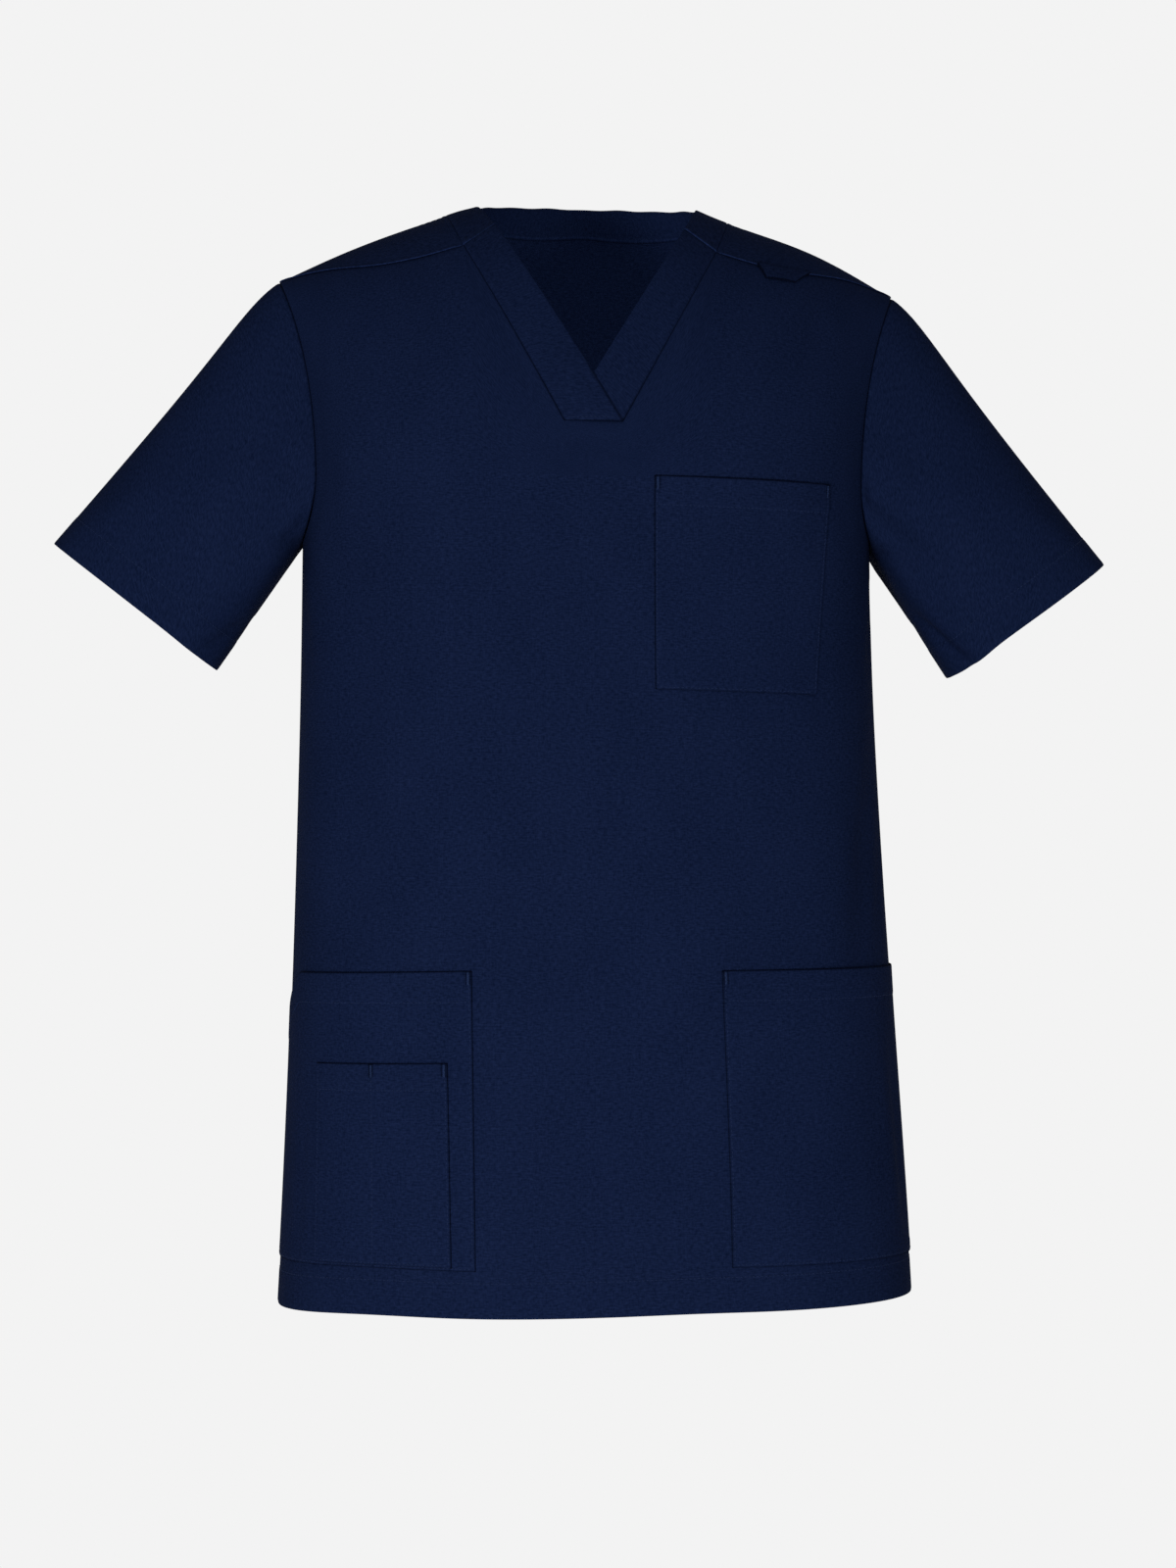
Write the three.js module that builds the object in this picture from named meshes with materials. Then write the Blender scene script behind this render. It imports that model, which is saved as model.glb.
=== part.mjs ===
// A scrub top of a medical scrub set, size M: short set-in sleeves, a lapped V-neck band, a chest
// pocket, two lower pockets that run into the side seams, a pen pocket and a badge loop. It keeps
// the hollow form that it has on a wearer, with no wearer in it: neck, cuffs and hem are open.
// Millimetres, +Z up. +X is the viewer's right, the front faces -Y, and the origin lies between
// the shoulders, where a wearer carries the top.
import * as THREE from 'three';

const { clamp, degToRad, lerp, radToDeg, smoothstep } = THREE.MathUtils;

// Cloth walls, with their seam allowances, and the space between two pieces at a seam. On a
// slanted seam the pieces are drawn further apart along an axis, to keep that space across it.
const CLOTH = 1.6;
const PATCH = 1.2;
const GAP = 0.3;
const SLANTED_GAP = 0.36;
const ARMHOLE_GAP = 0.4;

// The body: level sections, rounded ovals whose sides are flatter than an ellipse's
const OVAL_POWER = 2.5;
const HEM = -735;
const CHEST = -170;
const SECTIONS = [
  { z: HEM, halfWidth: 222, front: 139, back: 128 },
  { z: -515, halfWidth: 209.5, front: 136, back: 119 },
  { z: -377, halfWidth: 203, front: 134, back: 119 },
  { z: -290, halfWidth: 200, front: 133, back: 123 },
  { z: CHEST, halfWidth: 198, front: 130, back: 128 },
];

// The shoulders: above the chest the front and back close over a ridge that slopes outward
const RIDGE_TOP = 61.3;
const RIDGE_SLOPE = 0.43;
const RIDGE_ROUNDING = 12;
const SHOULDER_FLARE = 27;
const SHOULDER_ARCH = { from: 80, to: 243, leftRise: 6.5, rightRise: 3 };
const SHOULDER_SEAM = [
  { x: 87, y: -64 },
  { x: 120, y: -56 },
  { x: 150, y: -43 },
  { x: 182, y: -25 },
  { x: 215, y: -3 },
];

// The armhole: a rounded cut under the arm, then up the edges of the chest
const ARMPIT = -214.5;
const ARMHOLE_SPREAD = 20;
const KEPT_ANGLE = 55;

// The neck, in front view for the V and in plan round the back
const NECK_POINT = -101;
const BAND_BOTTOM = -133;
const BAND_BOTTOM_HALF = 20;
const BAND_TOP_INSIDE = { x: 65, y: -52 };
const NECK_SEAM = { halfWidth: 99, back: 71, front: 134 };
const NECK_EDGE = { halfWidth: 77, back: 54, front: 97 };
const NECK_BACK_POWER = 1.8;
const UNDER_BAND_END = 0.07;
const LAP = { down: 0.7, share: 0.5, rise: CLOTH + 1.2 };

// The sleeves, of which the wearer's right one reaches a little further: the cuff is an oval
// across the arm
const SLEEVES = [
  { name: 'sleeve_right', hand: -1, outer: { x: 372.5, z: -218 }, inner: { x: 259.6, z: -302.8 } },
  { name: 'sleeve_left', hand: 1, outer: { x: 365.8, z: -213.9 }, inner: { x: 255.2, z: -297 } },
];
const CUFF_DEPTH = 97;
const CAP_RISE = 3.5;
const CAP_REACH = 30;
const CAP_NARROWNESS = 6;
const CAP_OUTWARD = { x: 0.77, z: 0.64 };
const SLEEVE_STEPS = [0, 0.06, 0.14, 0.25, 0.4, 0.6, 0.8, 1];

// How the top hangs in its pose: a slight roll at the shoulders, and a hem that swings aside
const ROLL_TOP = -0.023;
const ROLL_HEM = 0.018;
const SWING_HEM = 6;
const POSE_START = -215;

// Soft folds of the front, the largest ones: place round the body, in arc from the centre
const FOLDS = [
  { arc: -176, lean: 10, width: 30, depth: 4.5, top: -190, bottom: -500 },
  { arc: 214, lean: -26, width: 16, depth: 3, top: -395, bottom: -508 },
  { arc: 40, lean: 30, width: 34, depth: -3, top: -330, bottom: -700 },
  { arc: -60, lean: -16, width: 30, depth: -2.5, top: -420, bottom: -725 },
];
const BACK_FOLDS = [
  { arc: -120, lean: 14, width: 28, depth: 4, top: -200, bottom: -560 },
  { arc: 118, lean: -10, width: 32, depth: 5, top: -230, bottom: -640 },
  { arc: 10, lean: 12, width: 40, depth: 3, top: -260, bottom: -700 },
];

// Columns of the panels, in arc from the centre line, and rows by level
const FRONT_ARCS = [0, 20, 41, 55, 69, 82, 96, 115, 136, 156, 173, 194, 215, 235, 250];
const FRONT_NECK_COLUMNS = 5;
const BACK_NECK_COLUMNS = 7;
const BACK_NECK_FOOT = 142;
const SHOULDER_COLUMNS = 10;
const LEVELS = [HEM, -704, -655, -610, -562, -535, -508, -455, -400, -350, -314, -265, ARMPIT];
const UNDERARM_STEPS = 4;
const SHOULDER_STEPS = 7;
const NECK_CURVE_EASE = 3;

// Pockets: edges in arc from the centre line, top and bottom by level. Each edge is a column or
// a row of the front's own points, found within NEAR of it.
const NEAR = 0.5;
const CHEST_POCKET = { from: 41, to: 173, top: CHEST, bottom: -314 };
const LOWER_POCKET = { from: 82, to: Infinity, top: -508, bottom: -704 };
const PEN_POCKET = { from: 96, to: 215, top: -562, bottom: -704 };

// The chest pocket narrows towards its bottom, where its outer edge leans in. The front's
// columns lean with it, and are upright again by LEAN_END and at the side.
const LEAN = 9;
const LEAN_END = -455;
const LEAN_SIDE = 250;

// The badge loop, a flattened tab in the shoulder seam
const LOOP_TOP = [118, 153];
const LOOP_FOOT = [125, 146];
const LOOP_DROP_DEGREES = 5.2;
const LOOP_GAP = 0.5;

// A column of a table at any place, on a smooth curve through its rows
function tableValue(rows, key, at, column) {
  const down = rows[0][key] > rows[1][key];
  let index = 0;
  while (index < rows.length - 2 && (down ? at < rows[index + 1][key] : at > rows[index + 1][key])) {
    index += 1;
  }
  const row = (offset) => rows[Math.min(Math.max(index + offset, 0), rows.length - 1)];
  const slope = (low, high) => (high[column] - low[column]) / (high[key] - low[key]);
  const span = row(1)[key] - row(0)[key];
  const share = (at - row(0)[key]) / span;
  const rise = span * share * (1 - share);
  const straight = lerp(row(0)[column], row(1)[column], share);
  const chord = slope(row(0), row(1));
  const bendIn = (slope(row(-1), row(1)) - chord) * (1 - share);
  const bendOut = (slope(row(0), row(2)) - chord) * share;
  return straight + rise * (bendIn - bendOut);
}

// The unit oval at an angle from the centre line: its share of the half width and of the depth
function oval(angle) {
  const turn = degToRad(Math.abs(angle));
  return { across: Math.sin(turn) ** (2 / OVAL_POWER), deep: Math.cos(turn) ** (2 / OVAL_POWER) };
}

const depthShare = (across) => Math.max(1 - across ** OVAL_POWER, 0) ** (1 / OVAL_POWER);

// Arc lengths from the centre front to each whole degree of the waist section
const WAIST = -400;
const WAIST_ARCS = [0];
for (let angle = 1; angle <= 90; angle += 1) {
  const from = oval(angle - 1);
  const to = oval(angle);
  const wide = tableValue(SECTIONS, 'z', WAIST, 'halfWidth') * (to.across - from.across);
  const deep = tableValue(SECTIONS, 'z', WAIST, 'front') * (from.deep - to.deep);
  WAIST_ARCS.push(WAIST_ARCS[angle - 1] + Math.hypot(wide, deep));
}

function angleOfArc(arc) {
  const below = WAIST_ARCS.findLastIndex((length) => length <= arc);
  const span = WAIST_ARCS[below + 1] - WAIST_ARCS[below];
  return below + (arc - WAIST_ARCS[below]) / span;
}

function arcOfAngle(angle) {
  const size = Math.min(Math.abs(angle), 89.999);
  const below = Math.floor(size);
  return Math.sign(angle) * lerp(WAIST_ARCS[below], WAIST_ARCS[below + 1], size - below);
}

// The pose, applied to every point of the top
function posed(x, y, z) {
  const down = smoothstep(POSE_START - z, 0, POSE_START - HEM);
  const roll = lerp(ROLL_TOP, ROLL_HEM, down);
  return new THREE.Vector3(x + SWING_HEM * down, y, z + roll * x);
}

// How far the folds draw the wall in at a place on the body
function foldDepth(folds, arc, z) {
  let depth = 0;
  for (const fold of folds) {
    const share = (fold.top - z) / (fold.top - fold.bottom);
    if (share <= 0 || share >= 1) continue;
    const away = (arc - fold.arc - fold.lean * share) / fold.width;
    depth += fold.depth * Math.sin(Math.PI * share) ** 0.7 * Math.exp(-away * away);
  }
  return depth;
}

// A point of the body from the hem to the chest. side is -1 for the front and 1 for the back,
// angle runs from 0 at the centre line to 90 at a side seam, and out is outward from the cloth.
function bodyPoint(side, angle, z, out) {
  const { across, deep } = oval(angle);
  const folds = side < 0 ? FOLDS : BACK_FOLDS;
  const grow = out - foldDepth(folds, arcOfAngle(angle), z);
  const depth = tableValue(SECTIONS, 'z', z, side < 0 ? 'front' : 'back') + grow;
  const halfWidth = tableValue(SECTIONS, 'z', z, 'halfWidth') + grow;
  const y = side * Math.max(depth * deep, GAP / 2);
  return posed(Math.sign(angle) * halfWidth * across, y, z);
}

const CHEST_SECTION = SECTIONS[SECTIONS.length - 1];
const ARMHOLE_ACROSS = oval(90 - ARMHOLE_SPREAD).across;
const ridge = (x) => RIDGE_TOP - RIDGE_SLOPE * Math.hypot(x, RIDGE_ROUNDING);

// How far the shoulders flare out at a place on them, and the low arch between neck and arm
function flare(across, turn) {
  return SHOULDER_FLARE * (across / ARMHOLE_ACROSS) ** 4 * Math.sin(turn) ** 2;
}

function arch(hand, x) {
  const rise = hand > 0 ? SHOULDER_ARCH.leftRise : SHOULDER_ARCH.rightRise;
  const share = (x - SHOULDER_ARCH.from) / (SHOULDER_ARCH.to - SHOULDER_ARCH.from);
  return rise * Math.sin(Math.PI * clamp(share, 0, 1)) ** 2;
}

// A point of the shoulders, on one side of the body. turn runs from 0 at the chest in front,
// over the ridge at a right angle, to a half turn at the chest behind.
function shoulderPoint(hand, place, out) {
  const plain = CHEST_SECTION.halfWidth * place.across + flare(place.across, place.turn);
  const depth = (Math.cos(place.turn) > 0 ? CHEST_SECTION.front : CHEST_SECTION.back) + out;
  const height = ridge(plain) + arch(hand, plain) - CHEST + out;
  const y = -depth * depthShare(place.across) * Math.cos(place.turn);
  return posed(hand * (plain + out * place.across), y, CHEST + height * Math.sin(place.turn));
}

// The place on the shoulders above a point of the plan, or behind a point of the front view
function placeInPlan(x, y) {
  let across = Math.min(x / CHEST_SECTION.halfWidth, ARMHOLE_ACROSS);
  let turn = Math.PI / 2;
  for (let pass = 0; pass < 30; pass += 1) {
    const depth = (y < 0 ? CHEST_SECTION.front : CHEST_SECTION.back) * depthShare(across);
    turn = Math.acos(-y / depth);
    across = (x - flare(across, turn)) / CHEST_SECTION.halfWidth;
  }
  return { across, turn };
}

function placeInFrontView(x, z) {
  const turn = Math.asin((z - CHEST) / (ridge(x) - CHEST));
  let across = x / CHEST_SECTION.halfWidth;
  for (let pass = 0; pass < 30; pass += 1) {
    across = (x - flare(across, turn)) / CHEST_SECTION.halfWidth;
  }
  return { across, turn };
}

// The shoulder seam lies forward of the ridge. side picks the front's or the back's edge of it.
function shoulderSeamPlace(side, x, y) {
  return placeInPlan(x, y + (side * SLANTED_GAP) / 2);
}

function shoulderSeam(side, share) {
  const x = lerp(SHOULDER_SEAM[0].x, SHOULDER_SEAM[SHOULDER_SEAM.length - 1].x, share);
  return shoulderSeamPlace(side, x, tableValue(SHOULDER_SEAM, 'x', x, 'y'));
}

function bandTop(side, share) {
  const from = SHOULDER_SEAM[0];
  const inset = GAP * (1 - share);
  return shoulderSeamPlace(
    side, lerp(from.x, BAND_TOP_INSIDE.x, share) - inset, lerp(from.y, BAND_TOP_INSIDE.y, share));
}

// Height of a place, before the pose
const heightOf = (place) => {
  const x = CHEST_SECTION.halfWidth * place.across + flare(place.across, place.turn);
  return CHEST + (ridge(x) - CHEST) * Math.sin(place.turn);
};
const SEAM_CORNER = { x: SHOULDER_SEAM[0].x, z: heightOf(shoulderSeam(0, 0)) };
const EDGE_CORNER = { x: BAND_TOP_INSIDE.x, z: heightOf(bandTop(0, 1)) };

// The neck seam in plan, from the centre back at 90 degrees forward to the shoulder seam
const NECK_SEAM_END = -Math.asin(-SHOULDER_SEAM[0].y / NECK_SEAM.front);
const NECK_EDGE_END = -Math.asin(-BAND_TOP_INSIDE.y / NECK_EDGE.front);

function neckRing(ring, angle) {
  const bend = angle > 0 ? 2 / NECK_BACK_POWER : 1;
  const depth = angle > 0 ? ring.back : -ring.front;
  return placeInPlan(
    ring.halfWidth * Math.cos(angle) ** bend, depth * Math.abs(Math.sin(angle)) ** bend);
}

// Where the columns of each panel end at the top
function frontTop(column) {
  if (column === 0) return placeInFrontView(0, BAND_BOTTOM);
  if (column >= FRONT_NECK_COLUMNS) {
    return shoulderSeam(-1, (column - FRONT_NECK_COLUMNS) / SHOULDER_COLUMNS);
  }
  const share = (column - 1) / (FRONT_NECK_COLUMNS - 1);
  return placeInFrontView(
    lerp(BAND_BOTTOM_HALF, SEAM_CORNER.x, share), lerp(BAND_BOTTOM, SEAM_CORNER.z, share));
}

function backTop(column) {
  if (column >= BACK_NECK_COLUMNS) {
    return shoulderSeam(1, (column - BACK_NECK_COLUMNS) / SHOULDER_COLUMNS);
  }
  return neckRing(NECK_SEAM, lerp(Math.PI / 2, NECK_SEAM_END, column / BACK_NECK_COLUMNS));
}

// Rows of the body from the hem to the chest, each with the angle where the armhole cuts it
const BODY_ROWS = LEVELS.map((z) => ({ z, edge: 90 }));
for (let step = 1; step <= UNDERARM_STEPS; step += 1) {
  const angle = (Math.PI / 2) * (step / UNDERARM_STEPS);
  BODY_ROWS.push({
    z: lerp(CHEST, ARMPIT, Math.cos(angle)),
    edge: 90 - ARMHOLE_SPREAD * Math.sin(angle),
  });
}

// A column of the front where it leans with the chest pocket's outer edge
function leaned(angle, z) {
  const arc = Math.abs(arcOfAngle(angle));
  const inward = (arc - CHEST_POCKET.from) / (CHEST_POCKET.to - CHEST_POCKET.from);
  const outward = (LEAN_SIDE - arc) / (LEAN_SIDE - CHEST_POCKET.to);
  const above = (CHEST_POCKET.top - z) / (CHEST_POCKET.top - CHEST_POCKET.bottom);
  const below = (z - LEAN_END) / (CHEST_POCKET.bottom - LEAN_END);
  const share = clamp(Math.min(inward, outward), 0, 1) * clamp(Math.min(above, below), 0, 1);
  return share > 0 ? Math.sign(angle) * angleOfArc(arc - LEAN * share) : angle;
}

// Columns towards the armhole close up where it cuts into the panel
function keptAngle(angle, edge) {
  const size = Math.abs(angle);
  if (size <= KEPT_ANGLE) return angle;
  const share = (size - KEPT_ANGLE) / (90 - KEPT_ANGLE);
  return Math.sign(angle) * lerp(KEPT_ANGLE, edge, share);
}

// A panel's wall at one distance out, as rows of points from the hem to the neck and shoulders
function panelGrid(side, angles, topOf, out) {
  const grid = BODY_ROWS.map((row) => angles.map((angle) => {
    const kept = keptAngle(angle, row.edge);
    return bodyPoint(side, side < 0 ? leaned(kept, row.z) : kept, row.z, out);
  }));
  const middle = (angles.length - 1) / 2;
  const start = side < 0 ? 0 : Math.PI;
  for (let step = 1; step <= SHOULDER_STEPS; step += 1) {
    const share = step / SHOULDER_STEPS;
    grid.push(angles.map((angle, index) => {
      const top = topOf(Math.abs(index - middle));
      const foot = oval(keptAngle(angle, 90 - ARMHOLE_SPREAD)).across;
      const place = {
        across: lerp(foot, top.across, share ** NECK_CURVE_EASE),
        turn: lerp(start, top.turn, share),
      };
      return shoulderPoint(Math.sign(index - middle), place, out);
    }));
  }
  return grid;
}

const mirrored = (angles) => [...angles.slice(1).reverse().map((angle) => -angle), ...angles];
const FRONT_ANGLES = mirrored([...FRONT_ARCS.map(angleOfArc), 90]);
const angleAtX = (x) => radToDeg(Math.asin((x / CHEST_SECTION.halfWidth) ** (OVAL_POWER / 2)));
const backAngles = [];
for (let column = 0; column <= BACK_NECK_COLUMNS; column += 1) {
  backAngles.push(angleAtX((BACK_NECK_FOOT * column) / BACK_NECK_COLUMNS));
}
for (let column = 1; column <= SHOULDER_COLUMNS; column += 1) {
  backAngles.push(lerp(angleAtX(BACK_NECK_FOOT), 90, column / SHOULDER_COLUMNS));
}
const BACK_ANGLES = mirrored(backAngles);

// A closed wall between two grids of points, with a rim along each open edge. A closed grid
// runs round a tube, so that its last column joins its first. A quad is split from its first to
// its third corner, or the other way where it is so skewed that this is much shorter.
const MUCH_SHORTER = 0.8;

function wall(outer, inner, round) {
  const rows = outer.length;
  const columns = outer[0].length;
  const layer = rows * columns;
  const points = [...outer.flat(), ...inner.flat()];
  const faces = [];
  const quad = (a, b, c, d) => faces.push(a, b, c, a, c, d);
  const at = (row, column) => row * columns + (column % columns);
  const across = round ? columns : columns - 1;
  for (let row = 0; row < rows - 1; row += 1) {
    for (let column = 0; column < across; column += 1) {
      const [a, b] = [at(row, column), at(row, column + 1)];
      const [c, d] = [at(row + 1, column + 1), at(row + 1, column)];
      const split = points[a].distanceTo(points[c]);
      const otherSplit = points[b].distanceTo(points[d]);
      if (otherSplit < MUCH_SHORTER * split) {
        quad(b, c, d, a);
        quad(b + layer, a + layer, d + layer, c + layer);
      } else {
        quad(a, b, c, d);
        quad(a + layer, d + layer, c + layer, b + layer);
      }
    }
  }
  for (let column = 0; column < across; column += 1) {
    const foot = [at(0, column), at(0, column + 1)];
    const head = [at(rows - 1, column + 1), at(rows - 1, column)];
    for (const [a, b] of [foot, head]) quad(b, a, a + layer, b + layer);
  }
  for (let row = 0; !round && row < rows - 1; row += 1) {
    const left = [at(row + 1, 0), at(row, 0)];
    const right = [at(row, columns - 1), at(row + 1, columns - 1)];
    for (const [a, b] of [left, right]) quad(b, a, a + layer, b + layer);
  }
  return { points, faces };
}

// Six times the volume that the faces enclose: negative when they point inward
function signedVolume({ points, faces }) {
  let sum = 0;
  for (let index = 0; index < faces.length; index += 3) {
    const [a, b, c] = [0, 1, 2].map((corner) => points[faces[index + corner]]);
    sum += a.dot(new THREE.Vector3().crossVectors(b, c));
  }
  return sum;
}

const top = new THREE.Group();
const NAVY = { color: 0x101933, roughness: 0.85, metalness: 0 };

function addPiece(name, outer, inner, round = false) {
  const shape = wall(outer, inner, round);
  if (signedVolume(shape) < 0) shape.faces.reverse();
  const geometry = new THREE.BufferGeometry().setFromPoints(shape.points);
  geometry.setIndex(shape.faces);
  geometry.computeVertexNormals();
  const mesh = new THREE.Mesh(geometry, new THREE.MeshStandardMaterial(NAVY));
  mesh.name = name;
  top.add(mesh);
}

// Front and back
const frontGrid = (out) => panelGrid(-1, FRONT_ANGLES, frontTop, out);
const backGrid = (out) => panelGrid(1, BACK_ANGLES, backTop, out);
addPiece('front', frontGrid(0), frontGrid(-CLOTH));
addPiece('back', backGrid(0), backGrid(-CLOTH));

// The armhole's edge as one ring: up the front from the armpit, over the shoulder, down the back
function armholeRing(hand) {
  const edge = (grid) => grid.slice(LEVELS.length - 1).map((row) => row[hand < 0 ? 0 : row.length - 1]);
  const front = edge(frontGrid(0));
  const back = edge(backGrid(0)).reverse();
  const shoulder = front.pop().lerp(back.shift(), 0.5);
  const armpit = front.shift().lerp(back.pop(), 0.5);
  return [armpit, ...front, shoulder, ...back];
}

// Share of the way from the armpit to the shoulder and on down the back, from 0 to 2
function ringShares(ring) {
  const half = ring.length / 2;
  const lengths = ring.map((point, index) => point.distanceTo(ring[(index + 1) % ring.length]));
  const sum = (from, to) => lengths.slice(from, to).reduce((total, length) => total + length, 0);
  return ring.map((point, index) => (index <= half
    ? sum(0, index) / sum(0, half)
    : 1 + sum(half, index) / sum(half, ring.length)));
}

function cuffPoint({ hand, outer, inner }, share) {
  const angle = Math.PI * share;
  const along = (1 - Math.cos(angle)) / 2;
  return posed(
    hand * lerp(inner.x, outer.x, along),
    (-CUFF_DEPTH / 2) * Math.sin(angle),
    lerp(inner.z, outer.z, along));
}

// A sleeve, from the armhole to the cuff, with a rounded cap below the shoulder
function sleeveGrid(sleeve) {
  const { hand } = sleeve;
  const ring = armholeRing(hand);
  const shares = ringShares(ring);
  const seam = new THREE.Vector3(hand * ARMHOLE_GAP, 0, 0);
  const capOut = new THREE.Vector3(hand * CAP_OUTWARD.x, 0, CAP_OUTWARD.z);
  return SLEEVE_STEPS.map((step) => ring.map((point, index) => {
    const cuff = cuffPoint(sleeve, shares[index]);
    const start = point.clone().add(seam);
    const down = (step * start.distanceTo(cuff)) / CAP_REACH;
    const nearTop = Math.sin((Math.PI * shares[index]) / 2) ** CAP_NARROWNESS;
    const rise = CAP_RISE * down * Math.exp(1 - down) * nearTop;
    return start.lerp(cuff, step).addScaledVector(capOut, rise);
  }));
}

// The inside of a tube of points, one wall in along its normals
function insideOf(grid, hand) {
  const columns = grid[0].length;
  return grid.map((row, down) => row.map((point, index) => {
    const below = grid[Math.min(down + 1, grid.length - 1)][index];
    const above = grid[Math.max(down - 1, 0)][index];
    const next = row[(index + 1) % columns];
    const previous = row[(index + columns - 1) % columns];
    const normal = new THREE.Vector3().crossVectors(
      next.clone().sub(previous), below.clone().sub(above)).normalize();
    return point.clone().addScaledVector(normal, hand * CLOTH);
  }));
}

for (const sleeve of SLEEVES) {
  const grid = sleeveGrid(sleeve);
  addPiece(sleeve.name, grid, insideOf(grid, sleeve.hand), true);
}

// A front strip of the neck band, from the shoulder seam down to the V. reach is how far its
// inner edge runs on past the V, and rise lifts a place where it laps over the other strip.
const BAND_COLUMNS = 3;
const BAND_ROWS = FRONT_NECK_COLUMNS - 1;

function bandGrid(hand, reach, rise, out) {
  const edgeFoot = {
    x: lerp(EDGE_CORNER.x, 0, 1 + reach),
    z: lerp(EDGE_CORNER.z, NECK_POINT, 1 + reach),
  };
  const grid = [];
  for (let row = 0; row <= BAND_ROWS; row += 1) {
    const down = row / BAND_ROWS;
    const points = [];
    for (let column = 0; column <= BAND_COLUMNS; column += 1) {
      const share = column / BAND_COLUMNS;
      const lift = out + rise(down, share);
      if (row === 0) {
        points.push(shoulderPoint(hand, bandTop(-1, share), lift));
        continue;
      }
      const seam = {
        x: lerp(SEAM_CORNER.x, BAND_BOTTOM_HALF, down) - SLANTED_GAP,
        z: lerp(SEAM_CORNER.z, BAND_BOTTOM, down) + SLANTED_GAP,
      };
      const edge = { x: lerp(EDGE_CORNER.x, edgeFoot.x, down), z: lerp(EDGE_CORNER.z, edgeFoot.z, down) };
      const x = lerp(seam.x, edge.x, share);
      const place = placeInFrontView(Math.abs(x), lerp(seam.z, edge.z, share));
      points.push(shoulderPoint(x < 0 ? -hand : hand, place, lift));
    }
    grid.push(points);
  }
  return grid;
}

// The viewer's left strip laps over the other at the V: its inner edge runs down to the bottom
const OVER_REACH = (BAND_BOTTOM + SLANTED_GAP - NECK_POINT) / (NECK_POINT - EDGE_CORNER.z);
const lapRise = (down, share) => (down > LAP.down && share > LAP.share ? LAP.rise : 0);
const noRise = () => 0;
const overBand = (out) => bandGrid(-1, OVER_REACH, lapRise, out);
const underBand = (out) => bandGrid(1, UNDER_BAND_END, noRise, out);
addPiece('neck_band_right', overBand(0), overBand(-CLOTH));
addPiece('neck_band_left', underBand(0), underBand(-CLOTH));

// The back of the neck band, from one shoulder seam round to the other
function backBandGrid(out) {
  const grid = [];
  for (let column = -BACK_NECK_COLUMNS; column <= BACK_NECK_COLUMNS; column += 1) {
    const forward = Math.abs(column) / BACK_NECK_COLUMNS;
    const points = [];
    for (let step = 0; step <= BAND_COLUMNS; step += 1) {
      const share = step / BAND_COLUMNS;
      const ring = {
        halfWidth: lerp(NECK_SEAM.halfWidth - SLANTED_GAP, NECK_EDGE.halfWidth, share),
        back: lerp(NECK_SEAM.back - SLANTED_GAP, NECK_EDGE.back, share),
        front: lerp(NECK_SEAM.front - SLANTED_GAP, NECK_EDGE.front, share),
      };
      const end = lerp(NECK_SEAM_END, NECK_EDGE_END, share);
      const place = forward === 1
        ? bandTop(1, share)
        : neckRing(ring, lerp(Math.PI / 2, end, forward));
      points.push(shoulderPoint(Math.sign(column), place, out));
    }
    grid.push(points);
  }
  return grid;
}

addPiece('neck_band_back', backBandGrid(0), backBandGrid(-CLOTH));

// Pockets, made from the front's own points and moved out. layer counts the cloth beneath.
function addPocket(name, hand, pocket, layer) {
  const angles = FRONT_ANGLES.filter((angle) => {
    const arc = hand * arcOfAngle(angle);
    return arc > pocket.from - NEAR && arc < pocket.to + NEAR;
  });
  const rows = BODY_ROWS.filter((row) => row.z > pocket.bottom - NEAR && row.z < pocket.top + NEAR);
  const grid = (out) => rows.map((row) => angles.map(
    (angle) => bodyPoint(-1, leaned(keptAngle(angle, row.edge), row.z), row.z, out)));
  const under = GAP + layer * (PATCH + GAP);
  addPiece(name, grid(under + PATCH), grid(under));
}

addPocket('chest_pocket', 1, CHEST_POCKET, 0);
addPocket('lower_pocket_right', -1, LOWER_POCKET, 0);
addPocket('lower_pocket_left', 1, LOWER_POCKET, 0);
addPocket('pen_pocket', -1, PEN_POCKET, 1);

// The badge loop on the viewer's right shoulder, from the seam down the front
function loopGrid(out) {
  return [0, 1 / 2, 1].map((down) => [0, 1 / 3, 2 / 3, 1].map((share) => {
    const x = lerp(lerp(...LOOP_TOP, share), lerp(...LOOP_FOOT, share), down);
    const seam = shoulderSeamPlace(-1, x, tableValue(SHOULDER_SEAM, 'x', x, 'y'));
    const drop = degToRad(LOOP_DROP_DEGREES * down);
    return shoulderPoint(1, { across: seam.across, turn: seam.turn - drop }, out);
  }));
}

addPiece('badge_loop', loopGrid(LOOP_GAP + PATCH), loopGrid(LOOP_GAP));

export default top;
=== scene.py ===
"""A navy medical scrub top in its worn form, with no wearer in it.

Every length in the tables is in millimetres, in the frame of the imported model: +X to the viewer's
right, the front facing -Y, +Z up, the origin between the shoulders. Meshes are made in metres.
"""

import math

import bpy
import numpy as np
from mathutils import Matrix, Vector


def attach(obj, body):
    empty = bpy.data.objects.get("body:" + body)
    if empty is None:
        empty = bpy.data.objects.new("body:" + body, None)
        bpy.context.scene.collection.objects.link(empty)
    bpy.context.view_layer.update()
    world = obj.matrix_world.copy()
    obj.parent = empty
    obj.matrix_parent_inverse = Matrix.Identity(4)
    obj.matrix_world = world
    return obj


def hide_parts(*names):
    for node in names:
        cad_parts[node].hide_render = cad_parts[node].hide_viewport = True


MM = 0.001


def named_rows(columns, rows):
    """A table's rows as dictionaries, by the names of its columns."""
    return [dict(zip(columns, row)) for row in rows]


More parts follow.
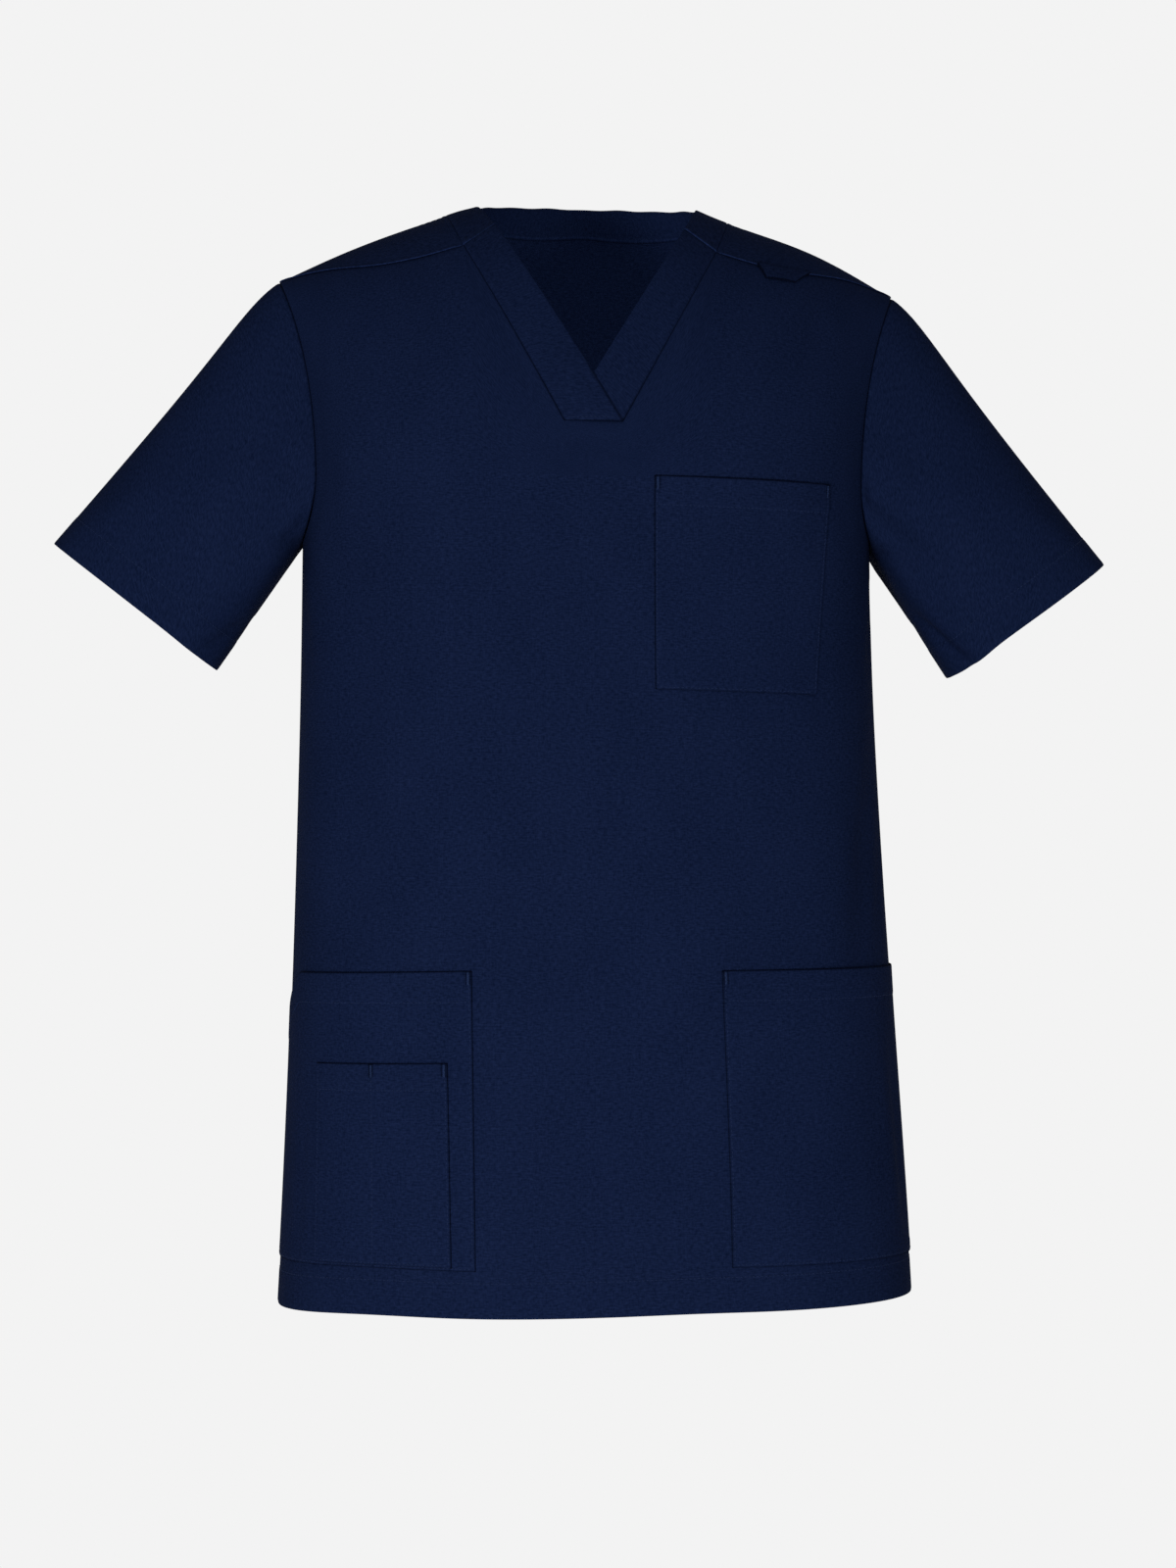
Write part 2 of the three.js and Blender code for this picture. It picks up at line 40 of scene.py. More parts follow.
# The body's level sections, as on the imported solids
OVAL_POWER = 2.5
HEM = -735.0
CHEST = -170.0
SECTION_Z = [HEM, -515, -377, -290, CHEST]
SECTION_HALF_WIDTH = [222, 209.5, 203, 200, 198]
SECTION_FRONT = [139, 136, 134, 133, 130]
SECTION_BACK = [128, 119, 119, 123, 128]

# Shoulders, armholes and neck
RIDGE_TOP = 61.3
RIDGE_SLOPE = 0.43
RIDGE_ROUNDING = 12.0
SHOULDER_FLARE = 27.0
FLARE_POWER = 4
SHOULDER_ARCH = (80.0, 243.0)
ARCH_RISE_LEFT = 6.5
ARCH_RISE_RIGHT = 3.0
SHOULDER_SEAM_X = [87, 120, 150, 182, 215]
SHOULDER_SEAM_Y = [-69, -63, -51.5, -30, -4]
ARMPIT = -214.5
ARMHOLE_SPREAD = 20.0
KEPT_ANGLE = 55.0
NECK_POINT = -101.0
BAND_BOTTOM = -133.0
BAND_BOTTOM_HALF = 20.0
BAND_TOP_INSIDE = (65.5, -62.0)
NECK_SEAM = {"half_width": 99.0, "back": 71.0, "front": 144.6}
NECK_EDGE = {"half_width": 77.0, "back": 54.0, "front": 117.9}
NECK_BACK_POWER = 1.8
UNDER_BAND_END = 0.07

# Sleeves, with both ends of each cuff in the front view, and its sag near the inner end
SLEEVES = named_rows(("name", "hand", "outer", "inner", "sag"), [
    ("sleeve_right", -1, (372.5, -218.0), (259.6, -302.8), 0.8),
    ("sleeve_left", 1, (365.8, -213.9), (255.2, -297.0), 2.4),
])
CUFF_DEPTH = 97.0
CUFF_POWER = 2.2
CUFF_SAG_AT = 0.13
CUFF_SAG_WIDTH = 0.11
CAP_RISE = 3.5
CAP_REACH = 30.0
CAP_NARROWNESS = 6
CAP_OUTWARD = (0.77, 0.0, 0.64)

# The pose
ROLL_TOP = -0.023
ROLL_HEM = 0.018
SWING_HEM = 6.0
POSE_START = -215.0

# Columns of the panels in arc from the centre line, and the neck's share of them
FRONT_ARCS = [0, 20, 41, 55, 69, 82, 96, 115, 136, 156, 173, 194, 215, 235, 250]
FRONT_NECK_COLUMNS = 5
BACK_NECK_COLUMNS = 7
BACK_NECK_FOOT = 142.0
SHOULDER_COLUMNS = 10
NECK_CURVE_EASE = 3

# Real thicknesses: cloth, a double layer, and the clear space under what lies on a panel
CLOTH = 0.7
DOUBLE = 1.1
LIFT = 0.35

# Turned hems, seams and lines of stitches, as they show on the surface
HEM_DEPTH = 24.0
HEM_RISE = 0.3
HEM_INSIDE = 0.8
HEM_OVERHANG = 0.5
HEM_ROUNDING = 0.3
HEM_ROUNDING_WIDTH = 0.8
SEAM_RISE = 0.25
SEAM_REACH = 9.0
SEAM_DIP = 0.5
SEAM_DIP_WIDTH = 1.1
STITCH_DIP = 0.2
STITCH_DIP_WIDTH = 1.0
EDGE_INSET = 1.7
SHOULDER_LAP = 0.55
SHOULDER_LAP_WIDTH = 2.2

# Painted shade and highlight along edges: shares by which the cloth's colour is painted darker
# where shade falls in a seam or under an edge, or lighter where a raised edge catches light, and the
# line's width
PAINTED_SEAM_SHADE = -0.72
PAINTED_NECK_SEAM_SHADE = -0.62
PAINTED_BACK_SEAM_SHADE = -0.14
PAINTED_LAP_HIGHLIGHT = 0.55
PAINTED_LINE_WIDTH = 0.55

# The front's hem is a little higher at these arcs from the centre line
RISE_COLUMNS = ("at", "width", "rise")
HEM_LIFTS = named_rows(RISE_COLUMNS, [(-150, 60, 2.5), (60, 50, 1.0)])
HEM_LIFT_REACH = 90.0

# The left armpit is a little higher than the right one
LEFT_ARMPIT_RISE = 5.0
LEFT_ARMPIT_REACH = 24.0
LEFT_ARMPIT_ANGLES = (60, 88)

# Soft folds, of which the front's first four and the back's first three are the solids' own. The
# ends are arc from the centre line and height. A positive depth is a trough, a negative one a ridge.
FOLD_COLUMNS = ("start", "end", "width", "depth")
FOLD_TAPER = 0.7
FRONT_FOLDS = named_rows(FOLD_COLUMNS, [
    ((-176, -190), (-166, -500), 30, 4.5),
    ((214, -395), (188, -508), 16, 3),
    ((40, -330), (70, -700), 34, -3),
    ((-60, -420), (-76, -725), 30, -2.5),
    ((-252, -212), (-204, -262), 5, 1.2),
    ((-256, -236), (-218, -318), 7, 1.1),
    ((254, -208), (208, -250), 5, 1.2),
    ((258, -232), (226, -300), 7, 1.3),
    ((236, -330), (196, -430), 10, 1.4),
    ((240, -400), (214, -500), 6, 1.3),
    ((223, -545), (234, -700), 8, 1.7),
    ((205, -560), (214, -690), 9, -1.2),
    ((-211, -585), (-214, -712), 4, 0.9),
    ((-30, -250), (-96, -330), 24, -1.2),
    ((172, -20), (150, -96), 9, 0.9),
    ((-150, -36), (-120, -100), 10, 0.7),
])
BACK_FOLDS = named_rows(FOLD_COLUMNS, [
    ((-120, -200), (-106, -560), 28, 4),
    ((118, -230), (108, -640), 32, 5),
    ((10, -260), (22, -700), 40, 3),
    ((-254, -212), (-198, -270), 6, 1.4),
    ((256, -214), (202, -262), 6, 1.3),
    ((-250, -300), (-190, -400), 12, 1.5),
    ((246, -340), (196, -455), 11, 1.5),
    ((-62, -430), (-48, -725), 22, -2.2),
    ((62, -520), (72, -728), 18, -1.8),
    ((-28, -60), (-82, -150), 13, 1.1),
    ((34, -66), (88, -142), 12, 1.0),
    ((-124, -24), (-102, 30), 8, 1.5),
])


def smooth_curve(knots, values):
    """A function through the knots, smooth, with its slope at a knot that of the neighbours' chord."""
    order = np.argsort(knots)
    knots = np.asarray(knots, float)[order]
    values = np.asarray(values, float)[order]
    chords = np.diff(values) / np.diff(knots)
    middle = (values[2:] - values[:-2]) / (knots[2:] - knots[:-2])
    slopes = np.concatenate([chords[:1], middle, chords[-1:]])

    def value(at):
        index = np.clip(np.searchsorted(knots, at) - 1, 0, len(knots) - 2)
        span = knots[index + 1] - knots[index]
        share = (at - knots[index]) / span
        straight = values[index] + share * (values[index + 1] - values[index])
        bend_in = (slopes[index] - chords[index]) * (1 - share)
        bend_out = (slopes[index + 1] - chords[index]) * share
        return straight + span * share * (1 - share) * (bend_in - bend_out)

    return value


half_width_at = smooth_curve(SECTION_Z, SECTION_HALF_WIDTH)
front_at = smooth_curve(SECTION_Z, SECTION_FRONT)
back_at = smooth_curve(SECTION_Z, SECTION_BACK)
shoulder_seam_y = smooth_curve(SHOULDER_SEAM_X, SHOULDER_SEAM_Y)


def mix(low, high, share):
    return low + (high - low) * share


def smoothstep(value, low, high):
    share = np.clip((value - low) / (high - low), 0, 1)
    return share * share * (3 - 2 * share)


def up_to(distance, depth):
    """1 up to a depth and 0 past it, with a step that is soft over a millimetre on both sides."""
    return 1 - smoothstep(distance, depth - 1, depth + 1)


def bump(distance, width):
    return np.exp(-((distance / width) ** 2))


def oval(angle):
    """Shares of the half width and of the depth at an angle in degrees from the centre line."""
    turn = np.radians(np.minimum(np.abs(angle), 90))
    return np.sin(turn) ** (2 / OVAL_POWER), np.abs(np.cos(turn)) ** (2 / OVAL_POWER)


def depth_share(across):
    return np.maximum(1 - across**OVAL_POWER, 0) ** (1 / OVAL_POWER)


def angle_of_across(across):
    return np.degrees(np.arcsin(np.clip(across, 0, 1) ** (OVAL_POWER / 2)))


# Arc lengths of the waist section at each degree from the centre front
WAIST = -400.0
DEGREES = np.arange(91.0)
waist_across, waist_deep = oval(DEGREES)
WAIST_ARCS = np.concatenate([[0.0], np.cumsum(np.hypot(
    half_width_at(WAIST) * np.diff(waist_across), front_at(WAIST) * np.diff(waist_deep)))])


def angle_of_arc(arc):
    return np.interp(arc, WAIST_ARCS, DEGREES)


def arc_of_angle(angle):
    return np.sign(angle) * np.interp(np.abs(angle), DEGREES, WAIST_ARCS)


def posed(x, y, z):
    down = smoothstep(POSE_START - z, 0, POSE_START - HEM)
    roll = mix(ROLL_TOP, ROLL_HEM, down)
    return np.stack(np.broadcast_arrays(x + SWING_HEM * down, y, z + roll * x), axis=-1)


def fold_depth(folds, arc, z):
    """How far the folds draw the cloth in at places given by arc and height."""
    depth = np.zeros(np.broadcast(arc, z).shape)
    for fold in folds:
        (arc0, z0), (arc1, z1) = fold["start"], fold["end"]
        along = np.array([arc1 - arc0, z1 - z0], float)
        length = np.hypot(*along)
        along /= length
        share = ((arc - arc0) * along[0] + (z - z0) * along[1]) / length
        away = (arc - arc0) * along[1] - (z - z0) * along[0]
        taper = np.sin(np.pi * np.clip(share, 0, 1)) ** FOLD_TAPER
        depth += fold["depth"] * taper * np.exp(-((away / fold["width"]) ** 2))
    return depth


def rises_at(place, rises):
    """The sum of a table's soft rises at a place."""
    return sum(row["rise"] * bump(place - row["at"], row["width"]) for row in rises)


def hem_lift(arc, z):
    return rises_at(arc, HEM_LIFTS) * smoothstep(HEM + HEM_LIFT_REACH - z, 0, HEM_LIFT_REACH)


def armpit_rise(angle, z):
    beside = smoothstep(angle, *LEFT_ARMPIT_ANGLES)
    return LEFT_ARMPIT_RISE * beside * bump(z - ARMPIT, LEFT_ARMPIT_REACH)


def body_points(side, angle, z, out):
    """Points from the hem to the chest. side is -1 in front and 1 behind."""
    across, deep = oval(angle)
    arc = arc_of_angle(angle)
    grow = out - fold_depth(FRONT_FOLDS if side < 0 else BACK_FOLDS, arc, z)
    depth = (front_at(z) if side < 0 else back_at(z)) + grow
    half_width = half_width_at(z) + grow
    lift = hem_lift(arc, z) if side < 0 else 0
    height = z + lift + armpit_rise(angle, z)
    return posed(np.sign(angle) * half_width * across, side * depth * deep, height)


CHEST_HALF_WIDTH = SECTION_HALF_WIDTH[-1]
ARMHOLE_ACROSS = float(oval(90 - ARMHOLE_SPREAD)[0])


def ridge(x):
    return RIDGE_TOP - RIDGE_SLOPE * np.hypot(x, RIDGE_ROUNDING)


def flare(across, turn):
    return SHOULDER_FLARE * (across / ARMHOLE_ACROSS) ** FLARE_POWER * np.sin(turn) ** 2


def arch(hand, x):
    share = np.clip((x - SHOULDER_ARCH[0]) / (SHOULDER_ARCH[1] - SHOULDER_ARCH[0]), 0, 1)
    return np.where(hand > 0, ARCH_RISE_LEFT, ARCH_RISE_RIGHT) * np.sin(np.pi * share) ** 2


def shoulder_points(hand, across, turn, out):
    """Points of the shoulders. turn runs from 0 at the chest, over the ridge, to pi behind."""
    plain = CHEST_HALF_WIDTH * across + flare(across, turn)
    height = ridge(plain) + arch(hand, plain) - CHEST
    z = CHEST + height * np.sin(turn)
    arc = hand * arc_of_angle(angle_of_across(across))
    ahead = np.cos(turn) > 0
    sink = np.where(ahead, fold_depth(FRONT_FOLDS, arc, z), fold_depth(BACK_FOLDS, arc, z))
    grow = out - sink
    depth = np.where(ahead, SECTION_FRONT[-1], SECTION_BACK[-1]) + grow
    y = -depth * depth_share(across) * np.cos(turn)
    return posed(hand * (plain + grow * across), y, CHEST + (height + grow) * np.sin(turn))


SOLVER_ROUNDS = 30


def place_in_plan(x, y):
    """The place on the shoulders above a point of the plan, as (across, turn)."""
    x, y = np.broadcast_arrays(np.asarray(x, float), np.asarray(y, float))
    across = np.minimum(x / CHEST_HALF_WIDTH, ARMHOLE_ACROSS)
    for _ in range(SOLVER_ROUNDS):
        depth = np.where(y < 0, SECTION_FRONT[-1], SECTION_BACK[-1]) * depth_share(across)
        turn = np.arccos(np.clip(-y / depth, -1, 1))
        across = (x - flare(across, turn)) / CHEST_HALF_WIDTH
    return across, turn


def place_in_front_view(x, z):
    """The place on the shoulders behind a point of the front view, as (across, turn)."""
    turn = np.arcsin((z - CHEST) / (ridge(x) - CHEST))
    across = x / CHEST_HALF_WIDTH
    for _ in range(SOLVER_ROUNDS):
        across = (x - flare(across, turn)) / CHEST_HALF_WIDTH
    return across, turn


def shoulder_seam(share):
    x = mix(SHOULDER_SEAM_X[0], SHOULDER_SEAM_X[-1], share)
    return place_in_plan(x, shoulder_seam_y(x))


def band_top(share):
    return place_in_plan(
        mix(SHOULDER_SEAM_X[0], BAND_TOP_INSIDE[0], share),
        mix(SHOULDER_SEAM_Y[0], BAND_TOP_INSIDE[1], share))


def height_of(place):
    across, turn = place
    x = CHEST_HALF_WIDTH * across + flare(across, turn)
    return float(CHEST + (ridge(x) - CHEST) * np.sin(turn))


SEAM_CORNER = (SHOULDER_SEAM_X[0], height_of(shoulder_seam(0.0)))
EDGE_CORNER = (BAND_TOP_INSIDE[0], height_of(band_top(1.0)))
NECK_SEAM_END = -math.asin(-SHOULDER_SEAM_Y[0] / NECK_SEAM["front"])
NECK_EDGE_END = -math.asin(-BAND_TOP_INSIDE[1] / NECK_EDGE["front"])


def neck_ring(half_width, back, front, angle):
    """Places on an oval round the neck, whose angle is a quarter turn at the back's middle."""
    bend = np.where(angle > 0, 2 / NECK_BACK_POWER, 1)
    depth = np.where(angle > 0, back, -np.asarray(front, float))
    return place_in_plan(
        half_width * np.abs(np.cos(angle)) ** bend, depth * np.abs(np.sin(angle)) ** bend)


def top_edge(column, neck_columns, neck):
    """Where a panel's columns end, as arrays of across and turn: at the neck, then the shoulder."""
    seam = shoulder_seam(np.clip((column - neck_columns) / SHOULDER_COLUMNS, 0, 1))
    at_neck = column < neck_columns
    return np.where(at_neck, neck[0], seam[0]), np.where(at_neck, neck[1], seam[1])


def front_top(column):
    column = np.abs(column)
    share = np.clip((column - 1) / (FRONT_NECK_COLUMNS - 1), 0, 1)
    x = np.where(column < 1, BAND_BOTTOM_HALF * column, mix(BAND_BOTTOM_HALF, SEAM_CORNER[0], share))
    neck = place_in_front_view(x, mix(BAND_BOTTOM, SEAM_CORNER[1], share))
    return top_edge(column, FRONT_NECK_COLUMNS, neck)


def back_top(column):
    column = np.abs(column)
    angle = mix(math.pi / 2, NECK_SEAM_END, np.clip(column / BACK_NECK_COLUMNS, 0, 1))
    neck = neck_ring(NECK_SEAM["half_width"], NECK_SEAM["back"], NECK_SEAM["front"], angle)
    return top_edge(column, BACK_NECK_COLUMNS, neck)


FRONT_ANGLES = np.append(angle_of_arc(np.array(FRONT_ARCS, float)), 90)
NECK_FOOT_ANGLES = angle_of_across(
    BACK_NECK_FOOT / CHEST_HALF_WIDTH * np.arange(BACK_NECK_COLUMNS + 1) / BACK_NECK_COLUMNS)
BACK_ANGLES = np.concatenate([
    NECK_FOOT_ANGLES,
    mix(NECK_FOOT_ANGLES[-1], 90, np.arange(1, SHOULDER_COLUMNS + 1) / SHOULDER_COLUMNS)])


def kept_angle(angle, edge):
    """Columns towards the armhole close up where it cuts into the panel."""
    size = np.abs(angle)
    share = np.clip((size - KEPT_ANGLE) / (90 - KEPT_ANGLE), 0, 1)
    return np.where(size <= KEPT_ANGLE, angle, np.sign(angle) * mix(KEPT_ANGLE, edge, share))


def spread(start, end, step, fine=()):
    """Stations from start to end about one step apart, with closer ones at both ends."""
    stations = np.linspace(start, end, int(round((end - start) / step)) + 1)
    near = [start + d for d in fine] + [end - d for d in fine]
    return np.unique(np.round(np.concatenate([stations, near]), 4))


# Rows of a panel from the hem to the chest, and over the shoulders, closer at every edge
ROW_STEP = 5.5
ROWS_BY_EDGE = (0.5, 1.2)
ROWS_BY_STITCHES = np.array([-2.4, -1.2, 0, 1.2, 2.4])
UNDERARM_ROWS = 12
SHOULDER_ROWS = 38
TOP_SHARES = [0.975, 0.987, 0.994, 0.9975, 1.0]
HEM_STITCH = HEM + HEM_DEPTH
LOW_ROWS = np.unique(np.concatenate([
    spread(HEM, ARMPIT, ROW_STEP, ROWS_BY_EDGE), HEM_STITCH + ROWS_BY_STITCHES]))
UNDERARM_ANGLES = np.radians(90 / UNDERARM_ROWS * np.arange(1, UNDERARM_ROWS + 1))
BODY_Z = np.concatenate([LOW_ROWS, mix(CHEST, ARMPIT, np.cos(UNDERARM_ANGLES))])
HEM_STITCH_ROW = int(np.argmin(np.abs(BODY_Z - HEM_STITCH)))
BODY_EDGE = np.concatenate([
    np.full(len(LOW_ROWS), 90.0), 90 - ARMHOLE_SPREAD * np.sin(UNDERARM_ANGLES)])
SHOULDER_SHARES = np.append(
    np.arange(1, SHOULDER_ROWS + 1) / (SHOULDER_ROWS + 1.5), TOP_SHARES)
FIRST_ARMHOLE_ROW = len(LOW_ROWS) - 1

# Each column of a panel is made in parts, with closer ones by its sides
COLUMN_PARTS = 4
COLUMNS_BY_SIDE = np.array([0.03, 0.08, 0.15])


def columns_of(count):
    """Stations across a panel in columns, close together at the side seams and armholes."""
    half = np.unique(np.round(np.concatenate([
        np.linspace(0, count, COLUMN_PARTS * count + 1), count - COLUMNS_BY_SIDE]), 5))
    return np.concatenate([-half[:0:-1], half])


class Panel:
    """The front or the back as a grid of places, whose points can be had at any distance out."""

    def __init__(self, side, angles, top_of, neck_columns):
        self.side = side
        self.neck_columns = neck_columns
        self.columns = columns_of(len(angles) - 1)
        self.angles = np.sign(self.columns) * np.interp(
            np.abs(self.columns), np.arange(len(angles)), angles)
        self.top = top_of(self.columns)
        self.arcs = arc_of_angle(self.angles)

    def points(self, out):
        rows = len(BODY_Z) + len(SHOULDER_SHARES)
        out = np.broadcast_to(np.asarray(out, float), (rows, len(self.columns)))
        kept = kept_angle(self.angles[None, :], BODY_EDGE[:, None])
        low = body_points(self.side, kept, BODY_Z[:, None], out[:len(BODY_Z)])
        share = SHOULDER_SHARES[:, None]
        foot = oval(kept_angle(self.angles, 90 - ARMHOLE_SPREAD))[0][None, :]
        across = mix(foot, self.top[0][None, :], share**NECK_CURVE_EASE)
        turn = mix(0 if self.side < 0 else math.pi, self.top[1][None, :], share)
        high = shoulder_points(np.sign(self.columns)[None, :], across, turn, out[len(BODY_Z):])
        return np.concatenate([low, high])


FRONT = Panel(-1, FRONT_ANGLES, front_top, FRONT_NECK_COLUMNS)
BACK = Panel(1, BACK_ANGLES, back_top, BACK_NECK_COLUMNS)


def lengths_along(grid, axis):
    """Length from the first point of each line of a grid, along the axis."""
    steps = np.linalg.norm(np.diff(grid, axis=axis), axis=-1)
    start = np.zeros_like(np.take(steps, [0], axis=axis))
    return np.concatenate([start, np.cumsum(steps, axis=axis)], axis=axis)


def seam_relief(distance):
    """A seam's dip, and beside it the low step of the seam allowances inside."""
    return SEAM_RISE * up_to(distance, SEAM_REACH) - SEAM_DIP * bump(distance, SEAM_DIP_WIDTH)


def hem_relief(distance):
    """A turned hem: thicker up to its line of stitches, with a rounded fold at the edge."""
    turned = up_to(distance, HEM_DEPTH + HEM_OVERHANG)
    stitched = STITCH_DIP * bump(distance - HEM_DEPTH, STITCH_DIP_WIDTH)
    return HEM_RISE * turned - stitched - HEM_ROUNDING * bump(distance, HEM_ROUNDING_WIDTH)


# A painted line along an edge: painted shade where the tone is negative, a painted highlight where it
# is positive
def painted_line_tone(distance, tone):
    return tone * bump(distance, PAINTED_LINE_WIDTH)


# Columns over which the shoulder seam's look begins beside the neck
SHOULDER_START = 0.4


def panel_relief(panel):
    """Relief of a panel, how far the hem's turned cloth adds to its inside, and its painted shade and
    highlight along seams.

    At the shoulder seam the back is pressed over the front.
    """
    grid = panel.points(0)
    across = lengths_along(grid, 1)
    upward = lengths_along(grid, 0)
    side = np.minimum(across, across[:, -1:] - across)
    top = upward[-1:] - upward
    column = np.abs(panel.columns)[None, :]
    shoulder = smoothstep(column, panel.neck_columns, panel.neck_columns + SHOULDER_START)
    lap = panel.side * SHOULDER_LAP * bump(top, SHOULDER_LAP_WIDTH)
    relief = seam_relief(side) + hem_relief(upward) + mix(seam_relief(top), lap, shoulder)
    # Painted shade along the side seams, the neck seam and the front's shoulder seam, and a painted
    # highlight along the back's edge lapped over the front at the shoulder
    neck_painted_shade = painted_line_tone(top, PAINTED_NECK_SEAM_SHADE if panel.side < 0 else PAINTED_BACK_SEAM_SHADE)
    turned = HEM_INSIDE * up_to(upward, HEM_DEPTH)
    shoulder_shade_and_highlight = painted_line_tone(top, PAINTED_LAP_HIGHLIGHT if panel.side > 0 else PAINTED_SEAM_SHADE)
    tone = painted_line_tone(side, PAINTED_SEAM_SHADE) + mix(neck_painted_shade, shoulder_shade_and_highlight, shoulder)
    return relief, turned, np.maximum(tone, PAINTED_SEAM_SHADE)


def new_piece(name, points, faces):
    """A smooth object of points in millimetres, linked into the scene in metres."""
    mesh = bpy.data.meshes.new(name)
    mesh.from_pydata((points * MM).tolist(), [], faces.tolist())
    mesh.update()
    mesh.shade_smooth()
    piece = bpy.data.objects.new(name, mesh)
    bpy.context.scene.collection.objects.link(piece)
    return piece


SHARP_ANGLE = math.radians(50)


def shell_mesh(name, outer, inner, round_, tone):
    """A closed shell between two grids of points, with a rim along each open edge."""
    rows, columns = outer.shape[:2]
    layer = rows * columns
    points = np.concatenate([outer.reshape(-1, 3), inner.reshape(-1, 3)])
    index = np.arange(layer).reshape(rows, columns)
    if round_:
        index = np.concatenate([index, index[:, :1]], axis=1)
    a, b, c, d = index[:-1, :-1], index[:-1, 1:], index[1:, 1:], index[1:, :-1]
    outside = np.stack([a, b, c, d], axis=-1).reshape(-1, 4)
    faces = [outside, outside[:, ::-1] + layer]
    edges = [(index[0, 1:], index[0, :-1]), (index[-1, :-1], index[-1, 1:])]
    if not round_:
        edges += [(index[:-1, 0], index[1:, 0]), (index[1:, -1], index[:-1, -1])]
    for first, second in edges:
        faces.append(np.stack([first, second, second + layer, first + layer], axis=-1))
    faces = np.concatenate(faces)
    corners = points[faces]
    volume = np.einsum("ij,ij->", corners[:, 0], np.cross(corners[:, 1], corners[:, 2]))
    volume += np.einsum("ij,ij->", corners[:, 0], np.cross(corners[:, 2], corners[:, 3]))
    if volume < 0:
        faces = faces[:, ::-1]
    piece = new_piece(name, points, faces)
    piece.data.set_sharp_from_angle(angle=SHARP_ANGLE)
    # Each point carries its painted shade and highlight along edges, which the cloth material
    # multiplies into its colour
    tones = piece.data.attributes.new("painted_edge_shade_and_highlight", "FLOAT", "POINT")
    tones.data.foreach_set("value", np.tile(np.broadcast_to(tone, (rows, columns)).ravel(), 2))
    return piece


def tube_normals(grid):
    """Unit normals of a grid of points that closes on itself, from its neighbours."""
    across = np.roll(grid, -1, axis=1) - np.roll(grid, 1, axis=1)
    normals = np.cross(across, np.gradient(grid, axis=0))
    return normals / np.linalg.norm(normals, axis=-1, keepdims=True)


def add_uv(piece, u, v):
    """Cloth coordinates in metres for both walls of a shell made from one grid."""
    flat = np.stack(np.broadcast_arrays(u, v), axis=-1).reshape(-1, 2) * MM
    both = np.concatenate([flat, flat])
    layer = piece.data.uv_layers.new(name="cloth")
    corner_vertices = np.empty(len(piece.data.loops), int)
    piece.data.loops.foreach_get("vertex_index", corner_vertices)
    layer.data.foreach_set("uv", both[corner_vertices].ravel())


# Thread that lies on cloth. Each length of it has three rings of four corners, by their share of
# the way along, their rise and their share of the width.
STITCH_PITCH = 2.9
STITCH_LENGTH = 2.2
THREAD_WIDTH = 0.5
THREAD_FLATNESS = 0.6
THREAD_RINGS = named_rows(("share", "rise", "width"), [
    (0, -0.1, 0.5),
    (0.5, 0.16, 1),
    (1, -0.1, 0.5),
])
CORNERS = 4
STITCH_UNEVENNESS = 0.12
TACK_LENGTH = 8.5
TACK_WIDTH = 1.9
TACK_PITCH = 0.62
TACK_START = 0.8
TACK_LEAN = 0.25
TACK_LIFT = 0.1
random = np.random.default_rng(7)


class Stitches:
    """Short lengths of thread, gathered into one mesh."""

    def __init__(self):
        self.rings = []

    def thread(self, start, end, normal):
        """Threads from start to end, as rings of four points at both ends and in the middle."""
        along = end - start
        along /= np.linalg.norm(along, axis=1, keepdims=True)
        side = np.cross(along, normal)
        for ring in THREAD_RINGS:
            middle = mix(start, end, ring["share"]) + ring["rise"] * normal
            half = THREAD_WIDTH / 2 * ring["width"]
            reach, height = half * side, THREAD_FLATNESS * half * normal
            corners = [middle + reach, middle + height, middle - reach, middle - height]
            self.rings.append(np.stack(corners, axis=1))

    def line(self, path, normals):
        """A line of stitches, a little uneven, along a path of points with their normals."""
        steps = np.linalg.norm(np.diff(path, axis=0), axis=1)
        reached = np.append(0, np.cumsum(steps))
        starts = np.arange(STITCH_PITCH / 2, reached[-1] - STITCH_PITCH, STITCH_PITCH)
        starts = starts + random.uniform(-STITCH_UNEVENNESS, STITCH_UNEVENNESS, len(starts))

        def at(table, where):
            return np.stack([np.interp(where, reached, table[:, k]) for k in range(3)], axis=1)

        normal = at(normals, starts + STITCH_LENGTH / 2)
        normal /= np.linalg.norm(normal, axis=1, keepdims=True)
        self.thread(at(path, starts), at(path, starts + STITCH_LENGTH), normal)

    def tack(self, path, normals):
        """A bar tack down from the start of a path: close stitches across it."""
        down = path[-1] - path[0]
        down /= np.linalg.norm(down)
        normal = normals[:1]
        side = np.cross(down, normal)
        count = np.arange(int(TACK_LENGTH / TACK_PITCH))[:, None]
        middle = path[:1] + down * (TACK_START + count * TACK_PITCH)
        lean = TACK_LEAN * TACK_PITCH * down
        reach = side * TACK_WIDTH / 2
        normals = np.repeat(normal, len(count), axis=0)
        lift = TACK_LIFT * normals
        self.thread(middle - reach - lean + lift, middle + reach + lean + lift, normals)

    def mesh(self, name):
        size = len(THREAD_RINGS)
        groups = [self.rings[k:k + size] for k in range(0, len(self.rings), size)]
        points = np.concatenate([np.stack(group, axis=1).reshape(-1, 3) for group in groups])
        index = np.arange(size * CORNERS).reshape(size, CORNERS)
        turned = np.roll(index, -1, axis=1)
        around = np.stack([index[:-1], turned[:-1], turned[1:], index[1:]], axis=-1)
        one = np.concatenate([around.reshape(-1, CORNERS), [index[0, ::-1], index[-1]]])
        first = index.size * np.arange(len(points) // index.size)[:, None, None]
        faces = (first + one[None]).reshape(-1, CORNERS)
        return new_piece(name, points, faces)


